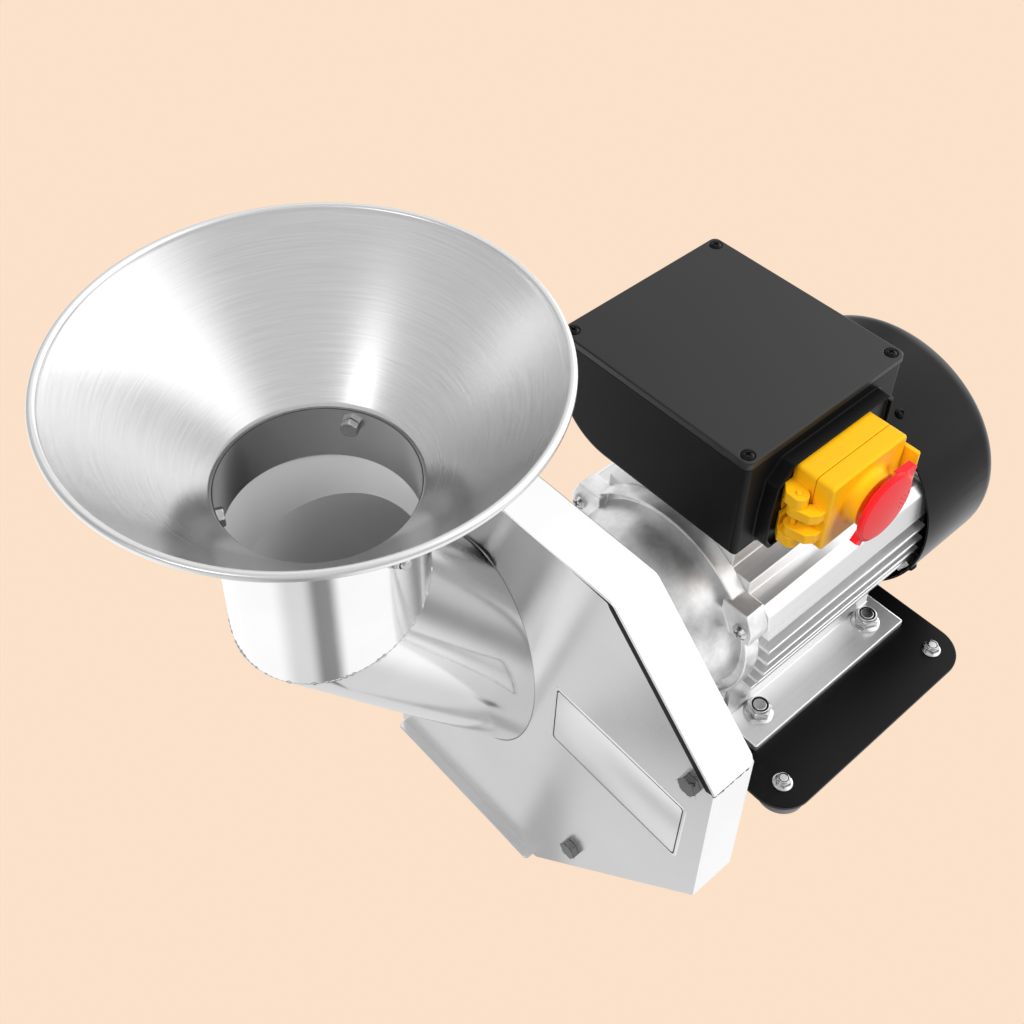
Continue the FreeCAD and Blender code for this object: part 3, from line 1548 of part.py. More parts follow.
def lid_spots():
    """Where the four lid screws stand."""
    return [
        (x, y)
        for x in ("box_left + lid_screw_inset", "box_right - lid_screw_inset")
        for y in ("box_front + lid_screw_inset", "box_back - lid_screw_inset")
    ]


# ---------------------------------------------------------------- switch


def make_switch():
    """The yellow switch with its two buttons, flip cover, catch and stop mushroom."""
    seat = "(box_right + boss_reach - boss_recess)"
    base = body("switch_base")
    block = sketch(base, "YZ", seat)
    box_loop(block, "switch_front", "switch_back", "switch_low", "switch_high")
    pad(base, block, f"switch_part - {seat}")
    soften(base, "Fillet", "switch_round", lambda middle, along, edge: abs(along.x) > 0.9)
    room = sketch(base, "YZ", "switch_part")
    box_loop(room, "switch_front + switch_wall", "switch_back - switch_wall", "switch_low + switch_wall",
             "switch_high - switch_wall")
    pocket(base, room, f"switch_part - {seat} - switch_floor")
    through = sketch(base, "YZ", "switch_part")
    box_loop(through, "switch_front + switch_ledge", "switch_back - switch_ledge", "switch_low + switch_ledge",
             "switch_high - switch_ledge")
    pocket(base, through, f"switch_part - {seat} + lap")
    wall = "hinge_side - hook_back"
    nose = "(hinge_side + hook_nose)"
    for level, low in (("0", "switch_low + knuckle_tall"), ("4", "switch_low + 5 * knuckle_tall - hook_tall")):
        hook = sketch(base, "XY", f"switch_low + {level} * knuckle_tall")
        loop(hook, [
            (wall, "switch_front + switch_wall"),
            (wall, "hinge_line"),
            (f"{wall} + hook_out", "hinge_line - hook_out"),
            (nose, "hinge_line - hook_out", "1.05 * hook_out"),
            (nose, "hinge_line + hook_out"),
            ("hinge_side", "switch_front + switch_wall"),
        ])
        pad(base, hook, "knuckle_tall")
        leg = sketch(base, "XY", low)
        loop(leg, [
            (wall, "switch_front + switch_wall"),
            (wall, "hinge_line"),
            (f"{wall} + hook_thick", "hinge_line - hook_thick"),
            (f"{wall} + hook_thick", "switch_front + switch_wall"),
        ])
        pad(base, leg, "hook_tall - knuckle_tall")
    pin_hole = sketch(base, "XY")
    circle(pin_hole, "hinge_side", "hinge_line", "hinge_pin + press_play")
    pocket(base, pin_hole)

    core = body("switch_core")
    block = sketch(core, "YZ", "core_back")
    ledge = "(switch_ledge + core_gap)"
    box_loop(block, f"switch_front + {ledge}", f"switch_back - {ledge}", f"switch_low + {ledge}",
             f"switch_high - {ledge}")
    pad(core, block, "core_face - core_back")
    wells = sketch(core, "YZ", "core_face")
    for low, high in button_rows():
        box_loop(wells, low, high, "mushroom_height - button_tall", "mushroom_height + button_tall")
    pocket(core, wells, "well_depth")

    proud = ("start_proud", "off_proud")
    for label, row, reach in zip(("start_button", "off_button"), button_rows(), proud):
        button = body(label)
        face = sketch(button, "YZ", "core_face - button_depth")
        box_loop(face, f"{row[0]} + core_gap", f"{row[1]} - core_gap", "mushroom_height - button_tall + core_gap",
                 "mushroom_height + button_tall - core_gap")
        pad(button, face, f"button_depth + {reach}")
        soften(button, "Fillet", "button_round", lambda middle, along, edge: near(middle.x, f"core_face + {reach}"))

    make_cover()
    make_mushroom()
    make_catch()

    pin = body("hinge_pin", x="hinge_side", y="hinge_line", z="switch_low - pin_proud")
    rod = sketch(pin, "XY")
    circle(rod, "0", "0", "hinge_pin")
    pad(pin, rod, "5 * knuckle_tall + 2 * pin_proud")
    soften(pin, "Chamfer", "hinge_pin / 4", lambda middle, along, edge: edge.isClosed())


def button_rows():
    """The near and far side of the start button's and the off button's wells."""
    middle = "(switch_front + switch_back) / 2"
    return [
        (f"{middle} - button_web / 2 - 2 * button_half", f"{middle} - button_web / 2"),
        (f"{middle} + button_web / 2", f"{middle} + button_web / 2 + 2 * button_half"),
    ]


def make_cover():
    """The flip cover: a shallow shell with the collar of the mushroom and two hinge knuckles."""
    cover = body("flip_cover")
    block = sketch(cover, "YZ", "switch_part + cover_gap")
    box_loop(block, "switch_front", "switch_back", "switch_low", "switch_high")
    pad(cover, block, "cover_face - switch_part - cover_gap")
    soften(cover, "Fillet", "switch_round", lambda middle, along, edge: abs(along.x) > 0.9)
    soften(cover, "Fillet", "cover_round", lambda middle, along, edge: near(middle.x, "cover_face"))
    collar = sketch(cover, "YZ", "cover_face")
    circle(collar, "mushroom_line", "mushroom_height", "collar_reach")
    pad(cover, collar, "neck_face - cover_face")
    soften(cover, "Fillet", "collar_flare", lambda middle, along, edge: edge.isClosed()
           and near(middle.x, "cover_face"))
    room = sketch(cover, "YZ", "switch_part + cover_gap")
    box_loop(room, "switch_front + switch_wall", "switch_back - switch_wall", "switch_low + switch_wall",
             "switch_high - switch_wall")
    pocket(cover, room, "cover_face - switch_part - cover_gap - switch_wall", back=True)
    stem = sketch(cover, "YZ")
    circle(stem, "mushroom_line", "mushroom_height", "stem_reach + core_gap")
    pocket(cover, stem)
    for level in ("1", "3"):
        arm = sketch(cover, "XY", f"switch_low + {level} * knuckle_tall + cover_gap")
        loop(arm, [
            ("cover_face - 2 * lap", "switch_front + lap"),
            ("switch_part + cover_gap + switch_round", "switch_front + lap"),
            ("hinge_side + knuckle_reach * cos(45)", "hinge_line + knuckle_reach * sin(45)", "knuckle_reach"),
            ("hinge_side - knuckle_reach", "hinge_line", "knuckle_reach"),
            ("hinge_side + knuckle_reach * cos(70)", "hinge_line - knuckle_reach * sin(70)"),
            ("cover_face - 2 * switch_round", "hinge_line - knuckle_reach / 2"),
            ("cover_face - 2 * lap", "hinge_line + 2 * lap"),
        ])
        pad(cover, arm, "knuckle_tall - 2 * cover_gap")
    pin_hole = sketch(cover, "XY")
    circle(pin_hole, "hinge_side", "hinge_line", "hinge_pin + running_play")
    pocket(cover, pin_hole)
    slot = sketch(cover, "XZ", "-switch_back")
    box_loop(slot, "switch_part + tongue_thick - cover_gap", "switch_part + 2 * tongue_thick + cover_gap",
             "mushroom_height - tongue_half - cover_gap", "mushroom_height + tongue_half + cover_gap")
    pocket(cover, slot, "switch_wall + lap", back=True)


def make_mushroom():
    """The red stop mushroom on its stem, with the foot that presses the off button."""
    knob = body("stop_mushroom", y="mushroom_line", z="mushroom_height")
    back = "(neck_face + stop_travel + cover_gap)"
    foot = "(core_face + off_proud + cover_gap)"
    inner = "(cover_face - switch_wall - 2 * lap)"
    profile = sketch(knob, "XZ")
    loop(profile, [
        (inner, "0"),
        (inner, "stem_reach"),
        (back, "stem_reach"),
        (back, "mushroom_reach - lap"),
        (f"{back} + lap", "mushroom_reach"),
        ("mushroom_face - mushroom_edge", "mushroom_reach"),
        ("mushroom_face - mushroom_dome", "mushroom_reach - mushroom_edge"),
        ("mushroom_face", "0"),
    ])
    revolve(knob, profile, "H")
    toe = sketch(knob, "YZ", foot)
    box_loop(toe, "toe_near", "toe_far", "-toe_half", "toe_half")
    pad(knob, toe, f"{inner} - {foot} + lap")
    wings = sketch(knob, "YZ", "mushroom_face - wing_back")
    root = "mushroom_reach - wing_thick"
    loop(wings, [spun(reach, half, "wing_turn") for reach, half in (
        (root, "-wing_half"), ("wing_reach", "-wing_half"), ("wing_reach", "wing_half"), (root, "wing_half"),
    )])
    loop(wings, [spun(reach, half, "wedge_turn") for reach, half in (
        (root, "-wedge_half"), ("wedge_reach", "-wing_half"), ("wedge_reach", "0"), (root, "wedge_half"),
    )])
    pad(knob, wings, "wing_thick", back=True)


def make_catch():
    """The flat catch that slides out of the cover's end, with the tongue that guides it."""
    catch = body("cover_catch")
    side = sketch(catch, "XY", "mushroom_height - catch_half")
    near_line = "(switch_back + cover_gap)"
    loop(side, [
        ("switch_part - catch_below", near_line),
        ("cover_face + catch_proud", near_line),
        ("cover_face + catch_proud", f"{near_line} + catch_thick - catch_edge"),
        ("cover_face + catch_proud - catch_edge", f"{near_line} + catch_thick"),
        ("switch_part - catch_below + catch_edge", f"{near_line} + catch_thick"),
        ("switch_part - catch_below", f"{near_line} + catch_thick - catch_edge"),
    ])
    pad(catch, side, "2 * catch_half")
    tongue = sketch(catch, "XY", "mushroom_height - tongue_half")
    box_loop(tongue, "switch_part + tongue_thick", "switch_part + 2 * tongue_thick", f"{near_line} - tongue_depth",
             f"{near_line} + lap")
    pad(catch, tongue, "2 * tongue_half")


make_base()
make_frame()
make_front_bell()
make_rear_bell()
make_motor_inside()
make_ties()
make_cowl()
make_rotor()
make_chamber()
make_feed()
make_hopper()
make_box()
make_switch()

# ---------------------------------------------------------------- checks and files

doc.recompute()
for item in doc.Objects:
    if any(word in item.State for word in ("Invalid", "Error")):
        raise RuntimeError(f"{item.Label} failed: {item.State}")
os.makedirs("parts", exist_ok=True)
for node in nodes:
    if node.Shape.isNull() or not node.Shape.isValid() or not node.Shape.Solids:
        raise RuntimeError(f"{node.Label} has no valid solid")
    node.Shape.exportStep(f"parts/{node.Label}.step")
print(len(nodes), "nodes written")
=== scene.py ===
import json
import math
import random

import bmesh
import bpy
from mathutils import Matrix, Vector

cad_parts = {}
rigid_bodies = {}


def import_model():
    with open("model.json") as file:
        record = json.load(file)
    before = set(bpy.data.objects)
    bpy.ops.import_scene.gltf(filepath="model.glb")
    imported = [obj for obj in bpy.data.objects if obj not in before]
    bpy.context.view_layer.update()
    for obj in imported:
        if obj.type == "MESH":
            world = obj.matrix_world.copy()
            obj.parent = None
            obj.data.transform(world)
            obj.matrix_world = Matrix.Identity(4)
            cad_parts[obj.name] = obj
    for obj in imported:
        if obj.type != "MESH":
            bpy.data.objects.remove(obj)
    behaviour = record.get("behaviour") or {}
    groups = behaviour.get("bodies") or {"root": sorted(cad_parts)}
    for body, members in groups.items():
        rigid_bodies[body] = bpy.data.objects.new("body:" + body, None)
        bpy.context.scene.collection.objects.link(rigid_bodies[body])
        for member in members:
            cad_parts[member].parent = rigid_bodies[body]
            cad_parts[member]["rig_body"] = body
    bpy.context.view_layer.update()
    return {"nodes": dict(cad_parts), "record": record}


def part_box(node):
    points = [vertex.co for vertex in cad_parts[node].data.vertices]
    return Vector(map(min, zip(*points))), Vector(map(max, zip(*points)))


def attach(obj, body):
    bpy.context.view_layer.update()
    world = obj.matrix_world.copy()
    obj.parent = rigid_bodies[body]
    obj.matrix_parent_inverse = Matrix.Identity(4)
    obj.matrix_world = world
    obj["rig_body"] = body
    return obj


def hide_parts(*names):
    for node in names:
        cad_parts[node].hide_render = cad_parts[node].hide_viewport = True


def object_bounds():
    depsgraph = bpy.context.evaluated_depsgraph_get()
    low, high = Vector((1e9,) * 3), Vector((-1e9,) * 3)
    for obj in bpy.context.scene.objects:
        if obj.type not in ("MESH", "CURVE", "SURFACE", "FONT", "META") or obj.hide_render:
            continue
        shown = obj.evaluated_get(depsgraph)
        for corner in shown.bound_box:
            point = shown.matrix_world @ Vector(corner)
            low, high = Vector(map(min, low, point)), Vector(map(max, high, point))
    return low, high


# Electric fruit crusher. Metres, in the CAD model's own frame: the motor shaft runs along Y, the
# chamber and the hopper are at -Y, the switch is at +X, and z = 0 is where the rubber feet stand.

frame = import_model()

MM = 0.001
SLOTS = {entry["node"]: entry["material_slot"] for entry in frame["record"]["subparts"]}

# ---------------------------------------------------------------- mesh helpers

POLE = 1e-7  # metres: a smaller ring is one vertex
CORNER_STEPS = 8
MERGE = 0.005 * MM  # CAD vertices closer than this are one
FLAT = math.radians(0.5)  # CAD faces closer than this are one
BEVEL_FROM = math.radians(30)  # CAD edges sharper than this are rounded
BEVEL_STEPS = 2
BEVEL_SHARE = 0.33  # of the width, for the edges that wide doesn't pick
BEVEL_LAYER = "bevel_weight_edge"


def new_object(name, mesh, material, nodes=(), body="root"):
    """Put a mesh in the scene, riding on a body and standing for CAD nodes."""
    piece = bpy.data.objects.new(name, mesh)
    bpy.context.scene.collection.objects.link(piece)
    mesh.materials.clear()
    mesh.materials.append(material)
    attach(piece, body)
    if nodes:
        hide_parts(*nodes)
    return piece


def smooth(mesh, angle):
    """Shade a mesh smooth, apart from edges sharper than an angle in degrees."""
    shape = bmesh.new()
    shape.from_mesh(mesh)
    limit = math.radians(angle)
    for face in shape.faces:
        face.smooth = True
    for edge in shape.edges:
        edge.smooth = edge.is_manifold and edge.calc_face_angle(0) < limit
    shape.to_mesh(mesh)
    shape.free()


def skin(shape, rings, closed=True):
    """Fill between rings of vertices that have the same count, or one vertex at a pole."""
    pairs = list(zip(rings, rings[1:]))
    if closed:
        pairs.append((rings[-1], rings[0]))
    for low, high in pairs:
        steps = max(len(low), len(high))
        for index in range(steps if len(low) + len(high) > 2 else 0):
            after = (index + 1) % steps
            if len(low) == 1:
                corners = (low[0], high[index], high[after])
            elif len(high) == 1:
                corners = (low[index], high[0], low[after])
            else:
                corners = (low[index], high[index], high[after], low[after])
            shape.faces.new(corners)


def finish_mesh(name, shape, angle):
    """Turn what was drawn into a mesh, faces outward, smooth but for edges over an angle."""
    bmesh.ops.recalc_face_normals(shape, faces=shape.faces)
    mesh = bpy.data.meshes.new(name)
    shape.to_mesh(mesh)
    shape.free()
    smooth(mesh, angle)
    return mesh


def turned(shape, rows, place, steps=72, closed=True):
    """Turn rows of (radius, height) about an axis; a radius may be a function of the angle."""
    rings = []
    for radius, height in rows:
        pole = not callable(radius) and radius < POLE
        ring = []
        for index in range(1 if pole else steps):
            turn = 2 * math.pi * index / steps
            reach = radius(turn) if callable(radius) else radius
            spot = Vector((reach * math.cos(turn), reach * math.sin(turn), height))
            ring.append(shape.verts.new(place @ spot))
        rings.append(ring)
    skin(shape, rings, closed)


def prism(shape, place, rows):
    """Stack rows of (outline in X and Z, place along Y), with a cap at both ends."""
    rings = []
    for outline, depth in rows:
        rings.append([shape.verts.new(place @ Vector((x, depth, z))) for x, z in outline])
    skin(shape, rings, closed=False)
    shape.faces.new(rings[0])
    shape.faces.new(rings[-1])


def arc(centre, radius, first, last, steps):
    """Profile points on an arc, from one angle in degrees to another."""
    points = []
    for index in range(steps + 1):
        turn = math.radians(first + (last - first) * index / steps)
        points.append((centre[0] + radius * math.cos(turn), centre[1] + radius * math.sin(turn)))
    return points


def rounded(half_x, half_z, radius):
    """The outline of a rectangle with rounded corners."""
    points = []
    for quarter in range(4):
        x = (half_x - radius) * (1 if quarter in (0, 3) else -1)
        z = (half_z - radius) * (1 if quarter < 2 else -1)
        points += arc((x, z), radius, 90 * quarter, 90 * quarter + 90, CORNER_STEPS)
    return points


def standing(x, y, z, turn=0.0):
    """A place at a point, turned about Z by an angle in degrees."""
    return Matrix.Translation((x, y, z)) @ Matrix.Rotation(math.radians(turn), 4, "Z")


def facing(x, y, z, turn=0.0):
    """A place at a point, its axis level and at an angle in degrees from +X."""
    return standing(x, y, z, turn) @ Matrix.Rotation(math.pi / 2, 4, "Y")


def apply_modifiers(piece):
    """Bake a piece's modifiers into its mesh."""
    depsgraph = bpy.context.evaluated_depsgraph_get()
    baked = bpy.data.meshes.new_from_object(piece.evaluated_get(depsgraph))
    piece.modifiers.clear()
    piece.data = baked


def dressed(node, material, edge, wide=None):
    """Stand a copy of a CAD node with rounded edges in for it, on the same body.

    wide picks, by an edge's middle, what gets the whole width; all else gets a third of it.
    """
    source = frame["nodes"][node]
    mesh = source.data.copy()
    shape = bmesh.new()
    shape.from_mesh(mesh)
    bmesh.ops.remove_doubles(shape, verts=shape.verts, dist=MERGE)
    bmesh.ops.dissolve_limit(shape, angle_limit=FLAT, verts=shape.verts, edges=shape.edges)
    layers = shape.edges.layers.float
    weights = layers.get(BEVEL_LAYER) or layers.new(BEVEL_LAYER)
    for face in shape.faces:
        face.smooth = True
    for line in shape.edges:
        sharp = line.is_manifold and line.calc_face_angle(0) > BEVEL_FROM
        line.smooth = not sharp
        middle = (line.verts[0].co + line.verts[1].co) / 2
        line[weights] = (1.0 if wide is None or wide(middle) else BEVEL_SHARE) if sharp else 0.0
    shape.to_mesh(mesh)
    shape.free()
    piece = new_object(node + "_skin", mesh, material, [node], source["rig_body"])
    bevel = piece.modifiers.new("edges", "BEVEL")
    bevel.width = edge
    bevel.segments = BEVEL_STEPS
    bevel.limit_method = "WEIGHT"
    bevel.use_clamp_overlap = False
    weighted = piece.modifiers.new("faces", "WEIGHTED_NORMAL")
    weighted.keep_sharp = True
    apply_modifiers(piece)


# ---------------------------------------------------------------- material helpers

WINDOW = (0.2, 0.8)  # the part of a noise's range that is used
GRAIN_DEEP = 0.0002  # metres that a grain stands out
WAVE_DEEP = 0.001  # metres that a waviness stands out


class Wires:
    """A node tree that is wired step by step."""

    def __init__(self, tree):
        self.tree = tree

    def node(self, kind, **settings):
        """A new node; a setting is a socket's value or else a property."""
        made = self.tree.nodes.new("ShaderNode" + kind)
        for key, value in settings.items():
            if key in made.inputs:
                made.inputs[key].default_value = value
            else:
                setattr(made, key, value)
        return made

    def link(self, start, end):
        """Link an output to an input."""
        self.tree.links.new(start, end)

    def math(self, operation, *values):
        """The result of an operation on numbers and outputs."""
        made = self.node("Math", operation=operation)
        for socket, value in zip(made.inputs, values):
            if isinstance(value, (int, float)):
                socket.default_value = value
            else:
                self.link(value, socket)
        return made.outputs["Value"]

    def split(self, vector):
        """The X, Y and Z of a vector."""
        made = self.node("SeparateXYZ")
        self.link(vector, made.inputs["Vector"])
        return made.outputs

    def spread(self, value, low, high, start=WINDOW[0], end=WINDOW[1], soft=False):
        """Map a value from a window to a range."""
        made = self.node("MapRange", interpolation_type="SMOOTHSTEP" if soft else "LINEAR")
        made.inputs["From Min"].default_value = start
        made.inputs["From Max"].default_value = end
        made.inputs["To Min"].default_value = low
        made.inputs["To Max"].default_value = high
        self.link(value, made.inputs["Value"])
        return made.outputs["Result"]


class Paint(Wires):
    """A surface material on Blender's own shader."""

    def __init__(self, name, color, metallic, roughness, **sockets):
        self.material = bpy.data.materials.new(name)
        self.material.use_nodes = True
        super().__init__(self.material.node_tree)
        self.shader = self.tree.nodes["Principled BSDF"]
        self.shader.inputs["Base Color"].default_value = (*color, 1)
        self.shader.inputs["Metallic"].default_value = metallic
        self.shader.inputs["Roughness"].default_value = roughness
        for socket, value in sockets.items():
            self.shader.inputs[socket.replace("_", " ")].default_value = value

    def place(self, stretch=(1, 1, 1), shift=(0, 0, 0)):
        """Object coordinates, moved and stretched."""
        source = self.node("TexCoord")
        mapping = self.node("Mapping")
        mapping.inputs["Location"].default_value = shift
        mapping.inputs["Scale"].default_value = stretch
        self.link(source.outputs["Object"], mapping.inputs["Vector"])
        return mapping.outputs["Vector"]

    def noise(self, vector, scale, detail, rough=0.5):
        """A noise at a scale in bumps per metre."""
        made = self.node("TexNoise", Scale=scale, Detail=detail, Roughness=rough)
        self.link(vector, made.inputs["Vector"])
        return made.outputs["Fac"]

    def vary_rough(self, value, low, high):
        """Let a value set the roughness within a range."""
        self.link(self.spread(value, low, high), self.shader.inputs["Roughness"])

    def vary_color(self, value, dark, light, start=WINDOW[0], end=WINDOW[1]):
        """Let a value set the colour between two."""
        ramp = self.node("ValToRGB")
        ramp.color_ramp.elements[0].position = start
        ramp.color_ramp.elements[0].color = (*dark, 1)
        ramp.color_ramp.elements[1].position = end
        ramp.color_ramp.elements[1].color = (*light, 1)
        self.link(value, ramp.inputs["Fac"])
        self.link(ramp.outputs["Color"], self.shader.inputs["Base Color"])

    def bump(self, value, strength, distance):
        """Add a relief on top of any that is there."""
        made = self.node("Bump", Strength=strength, Distance=distance)
        self.link(value, made.inputs["Height"])
        if self.shader.inputs["Normal"].links:
            self.link(self.shader.inputs["Normal"].links[0].from_socket, made.inputs["Normal"])
        self.link(made.outputs["Normal"], self.shader.inputs["Normal"])


def scaled(color, factor):
    """A colour made lighter or darker."""
    return tuple(min(1.0, part * factor) for part in color)


def grey(level):
    """A neutral colour."""
    return (level, level, level)


# ---------------------------------------------------------------- materials

RINGS_PER_METRE = 1500
STREAKS_PER_RADIAN = 2.2
# Bumps per metre along X, Y and Z of a grain that is drawn out along one of them
ALONG_X = (40, 900, 900)
ALONG_Y = (900, 6, 900)


def spun_steel(name, centre):
    """Steel spun and brushed in rings about an upright axis."""
    paint = Paint(name, grey(0.78), 1.0, 0.25, Anisotropic=0.7)
    spot = paint.split(paint.place(shift=(-centre[0], -centre[1], 0)))
    flat = paint.node("CombineXYZ")
    paint.link(spot["X"], flat.inputs["X"])
    paint.link(spot["Y"], flat.inputs["Y"])
    reach = paint.node("VectorMath", operation="LENGTH")
    paint.link(flat.outputs["Vector"], reach.inputs[0])
    heading = paint.node("VectorMath", operation="NORMALIZE")
    paint.link(flat.outputs["Vector"], heading.inputs[0])
    heading_split = paint.split(heading.outputs["Vector"])
    streaks = paint.node("CombineXYZ")
    for axis in "XY":
        along = paint.math("MULTIPLY", heading_split[axis], STREAKS_PER_RADIAN)
        paint.link(along, streaks.inputs[axis])
    across = paint.math("MULTIPLY", reach.outputs["Value"], RINGS_PER_METRE)
    paint.link(across, streaks.inputs["Z"])
    marks = paint.noise(streaks.outputs["Vector"], 1.0, 4.0, 0.6)
    cloudy = paint.noise(paint.place(), 24, 3)
    half_marks = paint.math("MULTIPLY", marks, 0.5)
    half_clouds = paint.math("MULTIPLY", cloudy, 0.5)
    paint.vary_rough(paint.math("ADD", half_marks, half_clouds), 0.2, 0.3)
    paint.vary_color(marks, grey(0.72), grey(0.82))
    paint.bump(marks, 0.05, GRAIN_DEEP)
    tangent = paint.node("Tangent", direction_type="RADIAL", axis="Z")
    paint.link(tangent.outputs["Tangent"], paint.shader.inputs["Tangent"])
    return paint.material


def tube_steel(name):
    """Polished tube steel with a slight waviness."""
    paint = Paint(name, grey(0.84), 1.0, 0.1)
    cloudy = paint.noise(paint.place(), 26, 4)
    paint.vary_rough(cloudy, 0.07, 0.16)
    paint.vary_color(cloudy, grey(0.8), grey(0.87))
    paint.bump(paint.noise(paint.place(), 42, 2), 0.05, WAVE_DEEP)
    return paint.material


def sheet_steel(name, tone, rough, waves=0.05, metallic=1.0):
    """Rolled sheet with a fine grain along X and a slight waviness."""
    paint = Paint(name, grey(tone), metallic, rough[0])
    cloudy = paint.noise(paint.place(), 14, 3)
    paint.vary_rough(cloudy, *rough)
    paint.vary_color(cloudy, grey(tone * 0.95), grey(min(1.0, tone * 1.04)))
    paint.bump(paint.noise(paint.place(), 22, 2), waves, WAVE_DEEP)
    paint.bump(paint.noise(paint.place(ALONG_X), 1, 3), 0.03, GRAIN_DEEP)
    return paint.material


def cast_aluminium(name):
    """Tumbled cast aluminium, matte, mottled and slightly pitted."""
    paint = Paint(name, grey(0.62), 1.0, 0.42)
    pits = paint.noise(paint.place(), 420, 4, 0.6)
    cloudy = paint.noise(paint.place(), 30, 5, 0.6)
    paint.vary_rough(cloudy, 0.34, 0.5)
    paint.vary_color(cloudy, grey(0.58), grey(1.0), 0.34, 0.6)
    paint.bump(paint.noise(paint.place(), 55, 3), 0.25, 1.2 * WAVE_DEEP)
    paint.bump(pits, 0.2, 1.5 * GRAIN_DEEP)
    return paint.material


def extruded_aluminium(name):
    """Extruded aluminium with die lines along the shaft."""
    paint = Paint(name, grey(0.88), 0.8, 0.3)
    lines = paint.noise(paint.place(ALONG_Y), 1, 3)
    paint.vary_rough(lines, 0.26, 0.36)
    paint.vary_color(lines, grey(0.84), grey(0.92))
    paint.bump(lines, 0.04, GRAIN_DEEP)
    return paint.material


def zinc_steel(name, tone):
    """Zinc-plated fasteners, slightly uneven."""
    paint = Paint(name, grey(tone), 1.0, 0.18)
    cloudy = paint.noise(paint.place(), 260, 3)
    paint.vary_rough(cloudy, 0.1, 0.26)
    paint.vary_color(cloudy, grey(tone * 0.85), grey(min(1.0, tone * 1.1)))
    paint.bump(paint.noise(paint.place(), 900, 2), 0.05, GRAIN_DEEP)
    return paint.material


def black_finish(name, tone, rough, peel, grain, gloss):
    """A black coat or moulding with a fine peel, at a grain in bumps per metre."""
    paint = Paint(name, grey(tone), 0.0, rough[0], Specular_IOR_Level=gloss)
    fine = paint.noise(paint.place(), grain, 2)
    cloudy = paint.noise(paint.place(), 16, 3)
    paint.vary_rough(cloudy, *rough)
    paint.vary_color(cloudy, grey(tone * 0.85), grey(tone * 1.2))
    paint.bump(fine, peel, GRAIN_DEEP)
    return paint.material


def plastic(name, color, rough, grain, gloss=0.5):
    """Moulded plastic with a faint grain."""
    paint = Paint(name, color, 0.0, rough[0], Specular_IOR_Level=gloss)
    cloudy = paint.noise(paint.place(), 30, 3)
    paint.vary_rough(cloudy, *rough)
    paint.vary_color(cloudy, scaled(color, 0.95), scaled(color, 1.05))
    paint.bump(paint.noise(paint.place(), 1400, 2), grain, GRAIN_DEEP)
    return paint.material


FEED = (-47 * MM, -263.5 * MM)  # the upright tube's and the hopper's axis in X and Y
YELLOW = (1.0, 0.5, 0.008)
RED = (1.0, 0.016, 0.022)
DARK_RED = (0.5, 0.003, 0.008)
GREEN = (0.02, 0.28, 0.06)
COPPER = (0.42, 0.13, 0.04)
PAINTS = {
    "stainless": spun_steel("spun_stainless", FEED),
    "polished_stainless": tube_steel("polished_stainless"),
    "sheet_steel": sheet_steel("satin_sheet", 0.8, (0.2, 0.28)),
    "bright_sheet": sheet_steel("bright_sheet", 0.95, (0.28, 0.36), 0.02),
    "cast_aluminium": cast_aluminium("cast_aluminium"),
    "extruded_aluminium": extruded_aluminium("extruded_aluminium"),
    "zinc_steel": zinc_steel("zinc_steel", 0.62),
    "dark_steel": sheet_steel("ground_steel", 0.3, (0.25, 0.4)),
    "core_steel": sheet_steel("core_steel", 0.25, (0.45, 0.6)),
    "copper_winding": plastic("copper_winding", COPPER, (0.35, 0.5), 0.3),
    "black_paint": black_finish("black_powder", 0.0025, (0.26, 0.34), 0.05, 700, 0.16),
    "black_plastic": black_finish("black_plastic", 0.004, (0.34, 0.42), 0.08, 1200, 0.1),
    "yellow_plastic": plastic("yellow_plastic", YELLOW, (0.3, 0.38), 0.03, 0.25),
    "red_plastic": plastic("red_plastic", RED, (0.28, 0.36), 0.03, 0.2),
    "green_plastic": plastic("green_plastic", GREEN, (0.25, 0.35), 0.03),
    "grey_plastic": plastic("grey_plastic", grey(0.4), (0.3, 0.45), 0.05),
    "foot_rubber": plastic("foot_rubber", grey(0.3), (0.6, 0.8), 0.2),
}
HOUSING = sheet_steel("housing_sheet", 0.8, (0.24, 0.32), 0.03)
# The box's black plastic again, made lighter and glossier for the lid: painted light on its upward
# face
LIT_LID_BLACK = black_finish("lid_black_painted_light", 0.008, (0.34, 0.42), 0.08, 1200, 0.4)
# Matte black for the nut inserts and the label's printed border, and for the strip of painted shade
# in the roof joint
NYLON_PRINT_AND_SHADE_BLACK = black_finish("black_nylon_print_and_painted_shade", 0.006, (0.5, 0.6), 0.05, 900, 0.2)
# Burnt weld has no metal shine
WELD_STEEL = plastic("weld_steel", grey(0.12), (0.4, 0.6), 0.3)
LABEL_FOIL = sheet_steel("label_foil", 0.95, (0.36, 0.44), 0.01)
BOLT_STEEL = zinc_steel("bolt_steel", 0.18)
DOT_RED = plastic("dot_red", DARK_RED, (0.4, 0.5), 0.02, 0.2)
BORE_STEEL = sheet_steel("bore_steel", 0.93, (0.34, 0.42), metallic=0.2)


def paint_nodes():
    """Give every CAD node the material of its slot."""
    for name, slot in SLOTS.items():
        mesh = frame["nodes"][name].data
        mesh.materials.clear()
        mesh.materials.append(PAINTS[slot])


# ---------------------------------------------------------------- hopper and tubes

HOPPER_STEPS = 192
# The rolled rim: its height, its reach from the axis and its bead's radius
RIM_Z = 344.6 * MM
RIM_REACH = 107.17 * MM
BEAD = 2.0 * MM
TUBE_REACH = 48.1 * MM
TUBE_WALL = 1.4 * MM
TUBE_TOP = 276.0 * MM
TUBE_STEPS = 160
TUBE_ROWS = 24
# The hopper's neck, which its spigot holds in the tube, and the soft bend above it
SPIGOT_REACH = TUBE_REACH - TUBE_WALL - 0.3 * MM
NECK_Z = TUBE_TOP + 0.1 * MM
LIP_ROUND = 7 * MM
LIP_CENTRE = (SPIGOT_REACH + 6.15 * MM, NECK_Z - 1.53 * MM)
